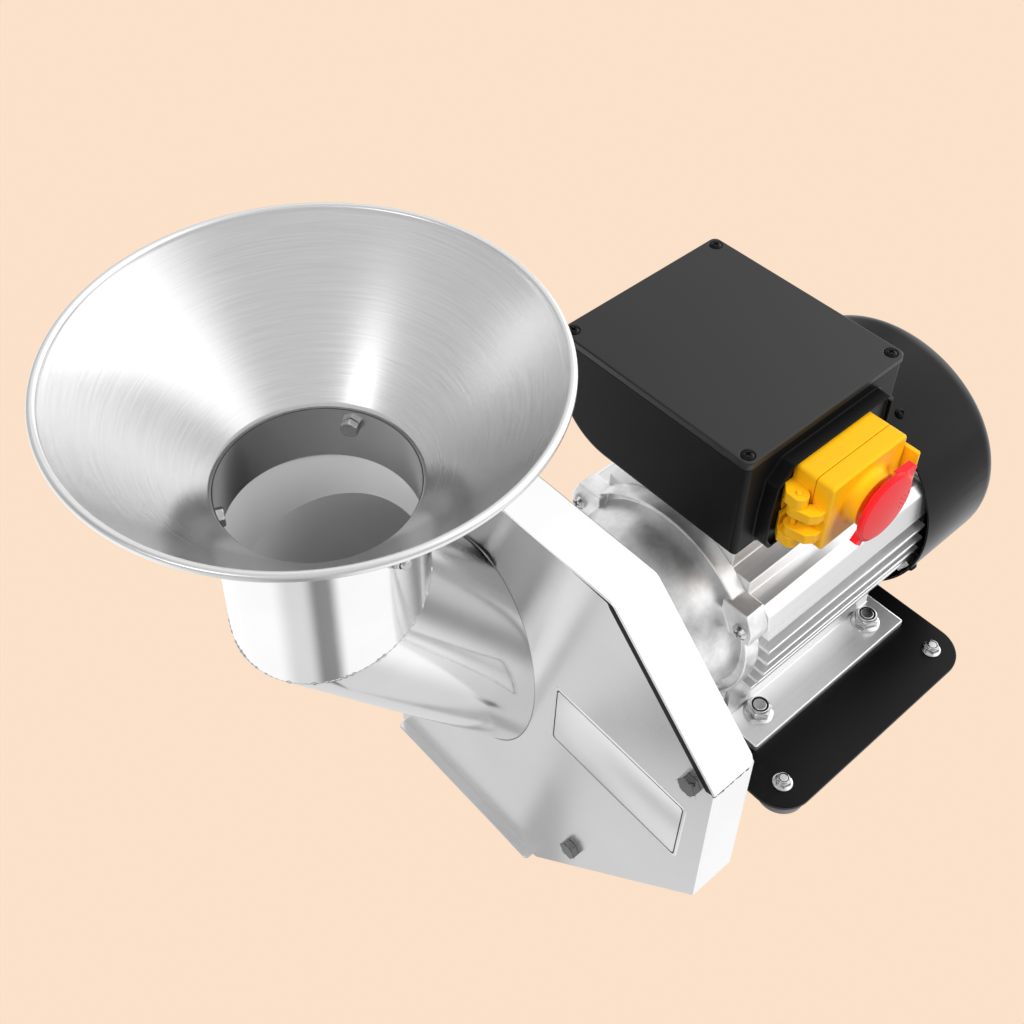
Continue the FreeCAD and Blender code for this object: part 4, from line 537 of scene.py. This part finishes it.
# The mitre's height on the axis, the lower tube's slope, and the plate that it meets
MITRE_Z = 206.9 * MM
SLOPE = math.radians(54)
HALF_BEND = (math.pi / 2 - SLOPE) / 2
PLATE_FACE = -173.5 * MM
WELD_STEPS = 300
WELD_SIZE = 0.95 * MM
WELD_SUNK = 0.35 * MM
RIPPLE = 3  # weld steps in a ripple


def make_hopper():
    """The spun cone and its rolled rim."""
    profile = [(SPIGOT_REACH - 1.0 * MM, NECK_Z), (SPIGOT_REACH, NECK_Z)]
    profile += [(SPIGOT_REACH + 0.6 * MM, NECK_Z + 0.75 * MM)]
    profile += [(RIM_REACH - 1.2 * BEAD, RIM_Z - 1.3 * BEAD)]
    profile += arc((RIM_REACH, RIM_Z), BEAD, -150, 165, 18)
    profile += [(RIM_REACH - 1.25 * BEAD, RIM_Z - 0.5 * BEAD)]
    profile += arc(LIP_CENTRE, LIP_ROUND, 138.6, 167.4, 8)
    shape = bmesh.new()
    turned(shape, profile, standing(*FEED, 0), HOPPER_STEPS)
    mesh = finish_mesh("hopper_shell", shape, 50)
    new_object("hopper_shell", mesh, PAINTS["stainless"], ["hopper_cone"])


def tube_mesh(name, low, high):
    """A tube whose outer and inner ring points are given by two functions of angle and radius."""
    shape = bmesh.new()
    rings = []
    for radius in (TUBE_REACH, TUBE_REACH - TUBE_WALL):
        for row in range(TUBE_ROWS + 1):
            share = row / TUBE_ROWS if radius == TUBE_REACH else 1 - row / TUBE_ROWS
            ring = []
            for index in range(TUBE_STEPS):
                turn = 2 * math.pi * index / TUBE_STEPS
                ring.append(shape.verts.new(low(turn, radius).lerp(high(turn, radius), share)))
            rings.append(ring)
    skin(shape, rings)
    return finish_mesh(name, shape, 40)


def upright(turn, radius, height=None):
    """A point of the upright tube, on the mitre plane or at a height."""
    x = radius * math.cos(turn)
    y = radius * math.sin(turn)
    if height is None:
        height = MITRE_Z + y * math.tan(HALF_BEND)
    return Vector((FEED[0] + x, FEED[1] + y, height))


def tube_end(turn, radius):
    """A point of the upright tube's upper end."""
    return upright(turn, radius, TUBE_TOP)


def sloping_end(turn, radius):
    """Where the sloping tube's line through a mitre point meets the plate."""
    start = upright(turn, radius)
    run = (PLATE_FACE - start.y) / math.cos(SLOPE)
    return start + Vector((0, math.cos(SLOPE), -math.sin(SLOPE))) * run


def make_tubes():
    """The mitred feed tubes, polished outside and left satin in the bore."""
    paint = PAINTS["polished_stainless"]
    tubes = (
        ("inlet_shell", "inlet_tube", upright, tube_end),
        ("feed_shell", "feed_tube", sloping_end, upright),
    )
    for name, node, low, high in tubes:
        mesh = tube_mesh(name, low, high)
        new_object(name, mesh, paint, [node])
        mesh.materials.append(BORE_STEEL)
        half = len(mesh.polygons) // 2
        for face in mesh.polygons:
            face.material_index = 1 if face.index >= half else 0


def bead(name, points, sizes, along, across=10):
    """A closed bead round a loop of points, out from the feed tube's axis and along a direction."""
    shape = bmesh.new()
    rings = []
    for middle, size in zip(points, sizes):
        out = Vector((middle.x - FEED[0], middle.y - FEED[1], 0)).normalized()
        ring = []
        for corner in range(across):
            angle = 2 * math.pi * corner / across
            spot = middle + out * (math.cos(angle) * size) + along * (math.sin(angle) * size)
            ring.append(shape.verts.new(spot))
        rings.append(ring)
    skin(shape, rings)
    return finish_mesh(name, shape, 60)


def make_weld():
    """The hand-laid bead round the mitre, a row of overlapping ripples."""
    rng = random.Random(7)
    lumps = [0.45 + 0.6 * rng.random() for _ in range(WELD_STEPS // RIPPLE)]
    points, sizes = [], []
    for index in range(WELD_STEPS):
        points.append(upright(2 * math.pi * index / WELD_STEPS, TUBE_REACH - WELD_SUNK))
        crest = 0.8 + 0.35 * (index % RIPPLE == 1)
        sizes.append(WELD_SIZE * lumps[index // RIPPLE] * crest)
    along = Vector((0, math.sin(HALF_BEND), -math.cos(HALF_BEND)))
    mesh = bead("elbow_bead", points, sizes, along)
    new_object("elbow_bead", mesh, PAINTS["zinc_steel"], ["elbow_weld"])


# ---------------------------------------------------------------- fasteners

# Lock nuts: width across flats, flange radius and height, height, collar height, shank radius
M5_NUT = (8 * MM, 5.9 * MM, 1.2 * MM, 4.2 * MM, 1.3 * MM, 2.5 * MM)
M8_NUT = (13 * MM, 8.9 * MM, 1.6 * MM, 6.8 * MM, 1.7 * MM, 4 * MM)
# Where the nuts sit, and how far some are turned from square, in degrees
BASE_TOP = 11 * MM
RAIL_TOP = 16 * MM
FOOT_SIDE = 100.2 * MM
FOOT_LINES = (-72.1 * MM, 67.0 * MM)
FOOT_TURN = 14
MOTOR_SIDE = 62.5 * MM
MOTOR_LINE = 50 * MM
MOTOR_TURN = 8
HOPPER_BOLT_Z = 267 * MM
HOPPER_BOLT_TURNS = (5, 125, 245)


def hexagon(across):
    """The reach of a hexagon's side at an angle, from its width across flats."""
    return lambda turn: across / 2 / math.cos(turn % (math.pi / 3) - math.pi / 6)


def lock_nut(shape, place, across, flange, flange_high, high, collar, bore):
    """A flanged lock nut: a rolled flange, chamfered flats, and a collar over its insert."""
    side = hexagon(across)
    round_top = across * 0.485
    tip = across / 2 / math.cos(math.pi / 6)
    rows = [(flange - 0.25 * MM, 0), (flange, 0.3 * flange_high)]
    rows += [(flange - 0.15 * MM, 0.7 * flange_high)]
    rows += [(lambda turn: max(side(turn), flange - 1.1 * MM), flange_high)]
    rows += [(side, flange_high + 0.35 * MM)]
    for step in range(6):
        share = step / 5
        limit = tip - (tip - round_top) * share
        height = high - 0.9 * MM * (1 - share)
        rows.append((lambda turn, limit=limit: min(side(turn), limit), height))
    lip = across * 0.45
    inner = bore + (lip - bore) * 0.55
    rows += [(lip, high + 0.05 * MM), (lip, high + 0.6 * collar)]
    rows += [(lip - 0.25 * MM, high + 0.9 * collar), (lip - 0.6 * MM, high + collar)]
    rows += [(inner, high + 0.92 * collar), (inner, high), (bore, high), (bore, 0)]
    turned(shape, rows, place)
    return inner


def insert_ring(shape, place, inner, outer, top):
    """The nylon insert that shows round the bolt's end."""
    low = top - 0.8 * MM
    rows = [(inner, low), (inner, top - 0.1 * MM), (inner + 0.15 * MM, top)]
    rows += [(outer - 0.1 * MM, top), (outer, low)]
    turned(shape, rows, place, 48)


def make_nuts(node, places, across, flange, flange_high, high, collar, shank):
    """The lock nuts of a CAD node, with their inserts."""
    steel, nylon = bmesh.new(), bmesh.new()
    bore = shank + 0.06 * MM
    for place in places:
        inner = lock_nut(steel, place, across, flange, flange_high, high, collar, bore)
        insert_ring(nylon, place, bore, inner - 0.03 * MM, high + 0.72 * collar)
    mesh = finish_mesh(node, steel, 28)
    new_object(node + "_steel", mesh, PAINTS["zinc_steel"], [node])
    mesh = finish_mesh(node + "_inserts", nylon, 40)
    new_object(node + "_inserts", mesh, NYLON_PRINT_AND_SHADE_BLACK)


def make_fasteners():
    """The lock nuts on the base, the motor feet and the hopper."""
    foot, motor, hopper = [], [], []
    for side in (-1, 1):
        foot += [standing(side * FOOT_SIDE, y, BASE_TOP, side * FOOT_TURN) for y in FOOT_LINES]
        for end in (-1, 1):
            spot = (side * MOTOR_SIDE, end * MOTOR_LINE, RAIL_TOP)
            motor.append(standing(*spot, end * MOTOR_TURN))
    for turn in HOPPER_BOLT_TURNS:
        spot = upright(math.radians(turn), TUBE_REACH, HOPPER_BOLT_Z)
        hopper.append(facing(*spot, turn))
    make_nuts("foot_nuts", foot, *M5_NUT)
    make_nuts("motor_nuts", motor, *M8_NUT)
    make_nuts("hopper_nuts", hopper, *M5_NUT)


# ---------------------------------------------------------------- chamber trim

LABEL_SPOT = (61.5 * MM, PLATE_FACE, 84.2 * MM)
LABEL_TILT = math.radians(1.5)
LABEL_HALF = (46 * MM, 24 * MM)
LABEL_CORNER = 3
BORDER_CORNER = 2
# Rows of (how far in from the edge, place along Y), in millimetres
LABEL_ROWS = ((0.0, 0.0), (0.0, -0.18), (0.08, -0.25))
BORDER_ROWS = ((1.6, -0.2), (1.6, -0.28), (2.25, -0.28), (2.25, -0.2))
# The outline in X and Z of the strip of painted shade over the joint, and where it starts and ends
# along Y, in millimetres
GAP_OUTER = [(22, 207.9), (46.9, 207.9), (48.8, 207.5), (50.4, 206.4), (119.4, 137.4), (120.3, 136)]
GAP_INNER = [(116.4, 134.6), (47.5, 203.6), (45.6, 206.4), (22, 207.6)]
GAP_DEPTHS = (0.6, -0.12)
SEAM_STEPS = 200
SEAM_SIZE = 0.4 * MM
# The short weld's tacks, in a row along Y, in millimetres
TACK_COUNT = 14
TACK_PITCH = 1.7
TACK_START = (120.6, -172.0, 135.3)
TACK_SHIFT = 0.3
TACK_SIZE = (0.95, 1.45)


def label_outline(inset, corner):
    """The label's outline, an inset within its edge, with a corner radius, in millimetres."""
    return rounded(LABEL_HALF[0] - inset * MM, LABEL_HALF[1] - inset * MM, corner * MM)


def make_label():
    """The bare label plate with its printed border."""
    place = Matrix.Translation(LABEL_SPOT) @ Matrix.Rotation(LABEL_TILT, 4, "Y")
    shape = bmesh.new()
    rows = [(label_outline(inset, LABEL_CORNER), depth * MM) for inset, depth in LABEL_ROWS]
    prism(shape, place, rows)
    mesh = finish_mesh("label_plate", shape, 40)
    new_object("label_plate", mesh, LABEL_FOIL)
    line = bmesh.new()
    rings = []
    for inset, depth in BORDER_ROWS:
        outline = label_outline(inset, BORDER_CORNER)
        rings.append([line.verts.new(place @ Vector((x, depth * MM, z))) for x, z in outline])
    skin(line, rings)
    mesh = finish_mesh("label_border", line, 40)
    new_object("label_border", mesh, NYLON_PRINT_AND_SHADE_BLACK)


def make_painted_gap_shade():
    """A black strip of painted shade over the front plate's edge, standing for the shadowed joint
    between the front plate and the roof band.
    """
    outline = [(x * MM, z * MM) for x, z in GAP_OUTER + GAP_INNER]
    shape = bmesh.new()
    place = Matrix.Translation((0, PLATE_FACE, 0))
    # Painted shade: a black strip, wider than the real gap, where the joint only shows shadow
    prism(shape, place, [(outline, depth * MM) for depth in GAP_DEPTHS])
    mesh = finish_mesh("roof_gap_painted_shade", shape, 30)
    new_object("roof_gap_painted_shade", mesh, NYLON_PRINT_AND_SHADE_BLACK)


def make_seam():
    """The thin dark seam where the feed tube meets the front plate: a real joint, drawn dark as
    painted shade along it.
    """
    points = []
    for index in range(SEAM_STEPS):
        end = sloping_end(2 * math.pi * index / SEAM_STEPS, TUBE_REACH)
        points.append(end + Vector((0, -0.1 * MM, 0)))
    # Painted shade: the bead is dark to stand for the dark line along the joint
    mesh = bead("tube_seam_and_shade", points, [SEAM_SIZE] * SEAM_STEPS, Vector((0, 0.3, 0.95)), 8)
    new_object("tube_seam_and_shade", mesh, PAINTS["dark_steel"])


def make_tacks():
    """The short rough weld that closes the roof band's right end."""
    rng = random.Random(3)
    shape = bmesh.new()
    x, y, z = TACK_START
    for index in range(TACK_COUNT):
        along = y + TACK_PITCH * index + rng.uniform(-TACK_SHIFT, TACK_SHIFT)
        spot = (x * MM, along * MM, z * MM)
        size = rng.uniform(*TACK_SIZE) * MM
        place = Matrix.Translation(spot) @ Matrix.Rotation(rng.uniform(0, 6), 4, "X")
        rows = [(0, -1.6 * size), (0.7 * size, -1.1 * size), (size, 0)]
        rows += [(0.75 * size, size), (0, 1.5 * size)]
        turned(shape, rows, place @ Matrix.Scale(0.9, 4), 10, closed=False)
    mesh = finish_mesh("band_tacks", shape, 70)
    new_object("band_tacks", mesh, WELD_STEEL)


# ---------------------------------------------------------------- mushroom, frame and cowl

# The mushroom's face, in millimetres: its axis, and its dome's start, front, reach and curve
CAP_Y, CAP_Z = -32, 209
CAP_BACK, CAP_FRONT = 94.9, 96.0
CAP_REACH, CAP_CURVE = 18.15, 207.4
CAP_STEPS = 12
DOT_YS = (10.3, 13.3, 16.3)
DOT_ZS = (0.6, -2.6, -5.8)
SHAFT_Z = 91 * MM
# The crown's two arcs about the shaft, in degrees from +X, and its reach along Y
CROWN_INNER = 55.05 * MM
CROWN_OUTER = 57.2 * MM
CROWN_OUTER_ARC = (60.7, 119.3)
CROWN_INNER_ARC = (115.2, 64.8)
CROWN_STEPS = 16
CROWN_START = 28.8 * MM
CROWN_LONG = 40.2 * MM
# The cowl's wall, the shoulder radius of the solid and of the scene, and the cuts across it
COWL_WALL = 1.2 * MM
CAD_SHOULDER = 10 * MM
COWL_SHOULDER = 15 * MM
COWL_CUTS = 7
COWL_CUT_PITCH = 2.5 * MM
COWL_CUT_NEAR = 0.02 * MM


def cap_height(reach):
    """How far out the mushroom's dome stands at a reach from its axis, in millimetres."""
    return CAP_FRONT - CAP_CURVE + math.sqrt(CAP_CURVE**2 - reach**2)


def make_cap():
    """The moulded dome on the stop mushroom's face, with its raised grip dots."""
    body = frame["nodes"]["stop_mushroom"]["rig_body"]
    quarter = 2 * CAP_STEPS
    reaches = [CAP_REACH * math.sin(step * math.pi / quarter) for step in range(CAP_STEPS, -1, -1)]
    rows = [(0, CAP_BACK * MM), (18.0 * MM, CAP_BACK * MM)]
    rows += [(reach * MM, cap_height(reach) * MM) for reach in reaches]
    shape = bmesh.new()
    turned(shape, rows, facing(0, CAP_Y * MM, CAP_Z * MM), 96, closed=False)
    mesh = finish_mesh("stop_dome", shape, 50)
    new_object("stop_dome", mesh, PAINTS["red_plastic"], (), body)
    shape = bmesh.new()
    for y in DOT_YS:
        for z in DOT_ZS:
            top = cap_height(math.hypot(y, z))
            rows = [(0, (top - 0.2) * MM), (0.5 * MM, (top - 0.2) * MM), (0.5 * MM, top * MM)]
            rows += [(0.36 * MM, (top + 0.12) * MM), (0, (top + 0.16) * MM)]
            place = facing(0, (y + CAP_Y) * MM, (z + CAP_Z) * MM)
            turned(shape, rows, place, 14, closed=False)
    mesh = finish_mesh("stop_dots", shape, 60)
    new_object("stop_dots", mesh, DOT_RED, (), body)


def make_crown():
    """The motor frame's wall that closes its bore behind the pedestal."""
    outline = arc((0, 0), CROWN_OUTER, *CROWN_OUTER_ARC, CROWN_STEPS)
    outline += arc((0, 0), CROWN_INNER, *CROWN_INNER_ARC, CROWN_STEPS)
    shape = bmesh.new()
    place = Matrix.Translation((0, CROWN_START, SHAFT_Z))
    prism(shape, place, [(outline, 0), (outline, CROWN_LONG)])
    mesh = finish_mesh("frame_crown", shape, 30)
    slot = "extruded_aluminium"
    new_object("frame_crown", mesh, PAINTS[slot])


def make_cowl():
    """The fan cowl, its closed end pressed over with a fuller shoulder than the solid's."""
    low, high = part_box("fan_cowl")
    axis = (low.z + high.z) / 2
    start_out = (high.x - low.x) / 2 - COWL_SHOULDER
    start_y = high.y - COWL_SHOULDER
    grown = COWL_SHOULDER - CAD_SHOULDER
    source = frame["nodes"]["fan_cowl"]
    mesh = source.data.copy()
    shape = bmesh.new()
    shape.from_mesh(mesh)
    bmesh.ops.remove_doubles(shape, verts=shape.verts, dist=MERGE)
    for step in range(COWL_CUTS):
        geometry = shape.verts[:] + shape.edges[:] + shape.faces[:]
        plane = (0, start_y + COWL_CUT_PITCH * step, 0)
        bmesh.ops.bisect_plane(
            shape, geom=geometry, plane_co=plane, plane_no=(0, 1, 0), dist=COWL_CUT_NEAR
        )
    for vert in shape.verts:
        out = math.hypot(vert.co.x, vert.co.z - axis)
        side, deep = out - start_out, vert.co.y - start_y
        if side <= 0 or deep <= 0:
            continue
        # Outer faces go to the new radius and inner faces to one wall less
        outside = max(side, deep) > COWL_SHOULDER - COWL_WALL / 2
        outside = outside or math.hypot(side - grown, deep - grown) > CAD_SHOULDER - COWL_WALL / 2
        limit = COWL_SHOULDER if outside else COWL_SHOULDER - COWL_WALL
        length = math.hypot(side, deep)
        if length > limit:
            share = (start_out + side * limit / length) / out
            height = axis + (vert.co.z - axis) * share
            vert.co = (vert.co.x * share, start_y + deep * limit / length, height)
    shape.to_mesh(mesh)
    shape.free()
    smooth(mesh, 32)
    new_object("cowl_shell", mesh, PAINTS["black_paint"], ["fan_cowl"], source["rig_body"])


# ---------------------------------------------------------------- dressed CAD pieces

FRAME_RAIL = 77 * MM


def on_rail(spot):
    """Whether an edge is on the outer side of the motor frame's foot rails."""
    return abs(spot.x) > FRAME_RAIL


# Node, material, width of its rounded edges in millimetres, and what picks the widest of them
DRESSED = [
    ("front_plate", PAINTS["sheet_steel"], 0.35),
    ("rear_housing", HOUSING, 0.35),
    ("roof_band", PAINTS["bright_sheet"], 0.5),
    ("base_plate", PAINTS["black_paint"], 0.6),
    ("motor_frame", PAINTS["extruded_aluminium"], 1.5, on_rail),
    ("front_bell", PAINTS["cast_aluminium"], 0.6),
    ("rear_bell", PAINTS["cast_aluminium"], 0.6),
    ("switch_box", PAINTS["black_plastic"], 0.7),
    ("box_lid", LIT_LID_BLACK, 0.5),
    ("switch_base", PAINTS["yellow_plastic"], 0.4),
    ("flip_cover", PAINTS["yellow_plastic"], 0.4),
    ("cover_catch", PAINTS["yellow_plastic"], 0.4),
    ("plate_bolts", BOLT_STEEL, 0.25),
    ("hopper_bolts", PAINTS["zinc_steel"], 0.25),
    ("motor_bolts", PAINTS["zinc_steel"], 0.5),
    ("foot_screws", PAINTS["zinc_steel"], 0.3),
    ("cutter_blades", PAINTS["stainless"], 0.2),
    ("cutter_disc", PAINTS["sheet_steel"], 0.3),
]


def dress_all():
    """Round the edges that catch light on the sheet, cast and moulded pieces."""
    for node, material, edge, *wide in DRESSED:
        dressed(node, material, edge * MM, *wide)


# ---------------------------------------------------------------- stage

BACKDROP = (0.97, 0.755, 0.585)
WHITE = (1, 1, 1)
# The sky's level in reflections, at the horizon, overhead and at least
SKY_LOW = 0.6
SKY_HIGH = 0.75
SKY_LEAST = 0.05
# Soft boxes and flags in the sky: azimuth, elevation, inner and outer reach in degrees, level
SKY_LOBES = [
    (66, 34, 26, 50, 1.0),
    (94, 12, 10, 28, 1.3),
    (-82, 38, 4, 13, 2.4),
    (-127, 38, 4, 18, -0.4),
    (140, 42, 18, 36, 0.3),
]
FLOOR_HALF = 6.0
FLOOR_BELOW = 2 * MM
FLOOR_BRIGHT = 1.15
FLOOR_SHADE = 0.75
FLOOR_FADE = (0.12, 0.24)  # metres from the feed tube's axis
# Shades on the floor: azimuth from the feed tube, inner and outer reach in degrees, share taken
FLOOR_CARDS = [
    (-40, 5, 20, 0.74),
    (-66, 6, 28, 0.3),
    (58, 4, 14, 0.35),
]
AMBIENT = 0.2  # what all light but reflections gets from the sky and the floor
# Soft lights: name, place, size and power in watts
LIGHTS = [
    ("key", (1.3, 0.5, 1.5), (0.9, 0.9), 30),
    ("fill", (0.2, -1.6, 1.6), (1.2, 1.2), 30),
]
LIGHTS_AIM = Vector((0, -0.08, 0.12))
# The photograph's camera: its turns in degrees, its lens in millimetres
CAMERA_SPOT = (309.9 * MM, -481.2 * MM, 723.7 * MM)
CAMERA_TURNS = (47.599, 0.591, 49.615)
SENSOR_WIDTH = 36
FOCAL_LENGTH = 49.345
SHIFT = (0.0524, -0.1478)


def toward(azimuth, elevation):
    """The direction at an azimuth from +X and a height above the horizon, in degrees."""
    side, up = math.radians(azimuth), math.radians(elevation)
    return Vector((math.cos(up) * math.cos(side), math.cos(up) * math.sin(side), math.sin(up)))


def show_by_ray(wires, kind, output, level):
    """Wire a stage shader: plain to the camera, a level to reflections, ambient to other light."""
    path = wires.node("LightPath")
    glossy = path.outputs["Is Glossy Ray"]
    ambient = wires.math("MULTIPLY", wires.math("SUBTRACT", 1, glossy), AMBIENT)
    strength = wires.math("ADD", wires.math("MULTIPLY", glossy, level), ambient)
    seen, lit = wires.node(kind), wires.node(kind)
    seen.inputs["Color"].default_value = (*BACKDROP, 1)
    lit.inputs["Color"].default_value = (*WHITE, 1)
    wires.link(strength, lit.inputs["Strength"])
    mix = wires.node("MixShader")
    wires.link(path.outputs["Is Camera Ray"], mix.inputs["Fac"])
    wires.link(lit.outputs[kind], mix.inputs[1])
    wires.link(seen.outputs[kind], mix.inputs[2])
    wires.link(mix.outputs["Shader"], wires.node(output).inputs["Surface"])


def make_world():
    """A plain pale surround with soft boxes that only reflections see."""
    world = bpy.data.worlds.new("studio")
    bpy.context.scene.world = world
    world.use_nodes = True
    world.cycles.sampling_method = "NONE"
    wires = Wires(world.node_tree)
    world.node_tree.nodes.clear()
    direction = wires.node("TexCoord").outputs["Generated"]
    level = wires.spread(wires.split(direction)["Z"], SKY_LOW, SKY_HIGH, 0.0, 1.0)
    for azimuth, elevation, inner, outer, amount in SKY_LOBES:
        near = wires.node("VectorMath", operation="DOT_PRODUCT")
        wires.link(direction, near.inputs[0])
        near.inputs[1].default_value = toward(azimuth, elevation)
        edge = (math.cos(math.radians(outer)), math.cos(math.radians(inner)))
        lobe = wires.spread(near.outputs["Value"], 0, amount, *edge, soft=True)
        level = wires.math("ADD", level, lobe)
    level = wires.math("MAXIMUM", level, SKY_LEAST)
    show_by_ray(wires, "Background", "OutputWorld", level)


def floor_paint():
    """A plain pale floor that reflections see white, with shades round the hopper."""
    material = bpy.data.materials.new("floor_paint")
    material.use_nodes = True
    material.cycles.emission_sampling = "NONE"
    wires = Wires(material.node_tree)
    material.node_tree.nodes.clear()
    spot = wires.split(wires.node("NewGeometry").outputs["Position"])
    x = wires.math("SUBTRACT", spot["X"], FEED[0])
    y = wires.math("SUBTRACT", spot["Y"], FEED[1])
    square = wires.math("ADD", wires.math("MULTIPLY", x, x), wires.math("MULTIPLY", y, y))
    reach = wires.math("SQRT", square)
    level = wires.spread(reach, FLOOR_SHADE, FLOOR_BRIGHT, *FLOOR_FADE, soft=True)
    turn = wires.math("MULTIPLY", wires.math("ARCTAN2", y, x), 180 / math.pi)
    for middle, inner, outer, share in FLOOR_CARDS:
        off = wires.math("ABSOLUTE", wires.math("SUBTRACT", turn, middle))
        card = wires.spread(off, 1 - share, 1, inner, outer, soft=True)
        level = wires.math("MULTIPLY", level, card)
    show_by_ray(wires, "Emission", "OutputMaterial", level)
    return material


def make_floor():
    """The plain floor, just below the object."""
    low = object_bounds()[0][2]
    corners = [(-1, -1), (1, -1), (1, 1), (-1, 1)]
    mesh = bpy.data.meshes.new("floor")
    mesh.from_pydata([(x * FLOOR_HALF, y * FLOOR_HALF, 0) for x, y in corners], [], [(0, 1, 2, 3)])
    mesh.materials.append(floor_paint())
    floor = bpy.data.objects.new("floor", mesh)
    floor.location.z = low - FLOOR_BELOW
    bpy.context.scene.collection.objects.link(floor)


def make_lights():
    """The soft lights, which reflections don't see."""
    for name, spot, size, power in LIGHTS:
        light = bpy.data.lights.new(name, "AREA")
        light.shape = "RECTANGLE"
        light.size, light.size_y = size
        light.energy = power
        lamp = bpy.data.objects.new(name, light)
        lamp.location = spot
        lamp.rotation_euler = (LIGHTS_AIM - Vector(spot)).to_track_quat("-Z", "Y").to_euler()
        lamp.visible_glossy = False
        bpy.context.scene.collection.objects.link(lamp)


def make_camera():
    """The camera at the photograph's viewing angle."""
    lens = bpy.data.cameras.new("camera")
    lens.sensor_width = SENSOR_WIDTH
    lens.lens = FOCAL_LENGTH
    lens.shift_x, lens.shift_y = SHIFT
    lens.clip_start = 10 * MM
    camera = bpy.data.objects.new("camera", lens)
    camera.location = CAMERA_SPOT
    camera.rotation_euler = tuple(math.radians(angle) for angle in CAMERA_TURNS)
    bpy.context.scene.collection.objects.link(camera)
    bpy.context.scene.camera = camera


paint_nodes()
make_hopper()
make_tubes()
make_weld()
make_fasteners()
make_label()
make_painted_gap_shade()
make_seam()
make_tacks()
make_cap()
make_crown()
make_cowl()
dress_all()
bpy.context.scene.view_settings.view_transform = "Standard"
make_floor()
make_world()
make_lights()
make_camera()
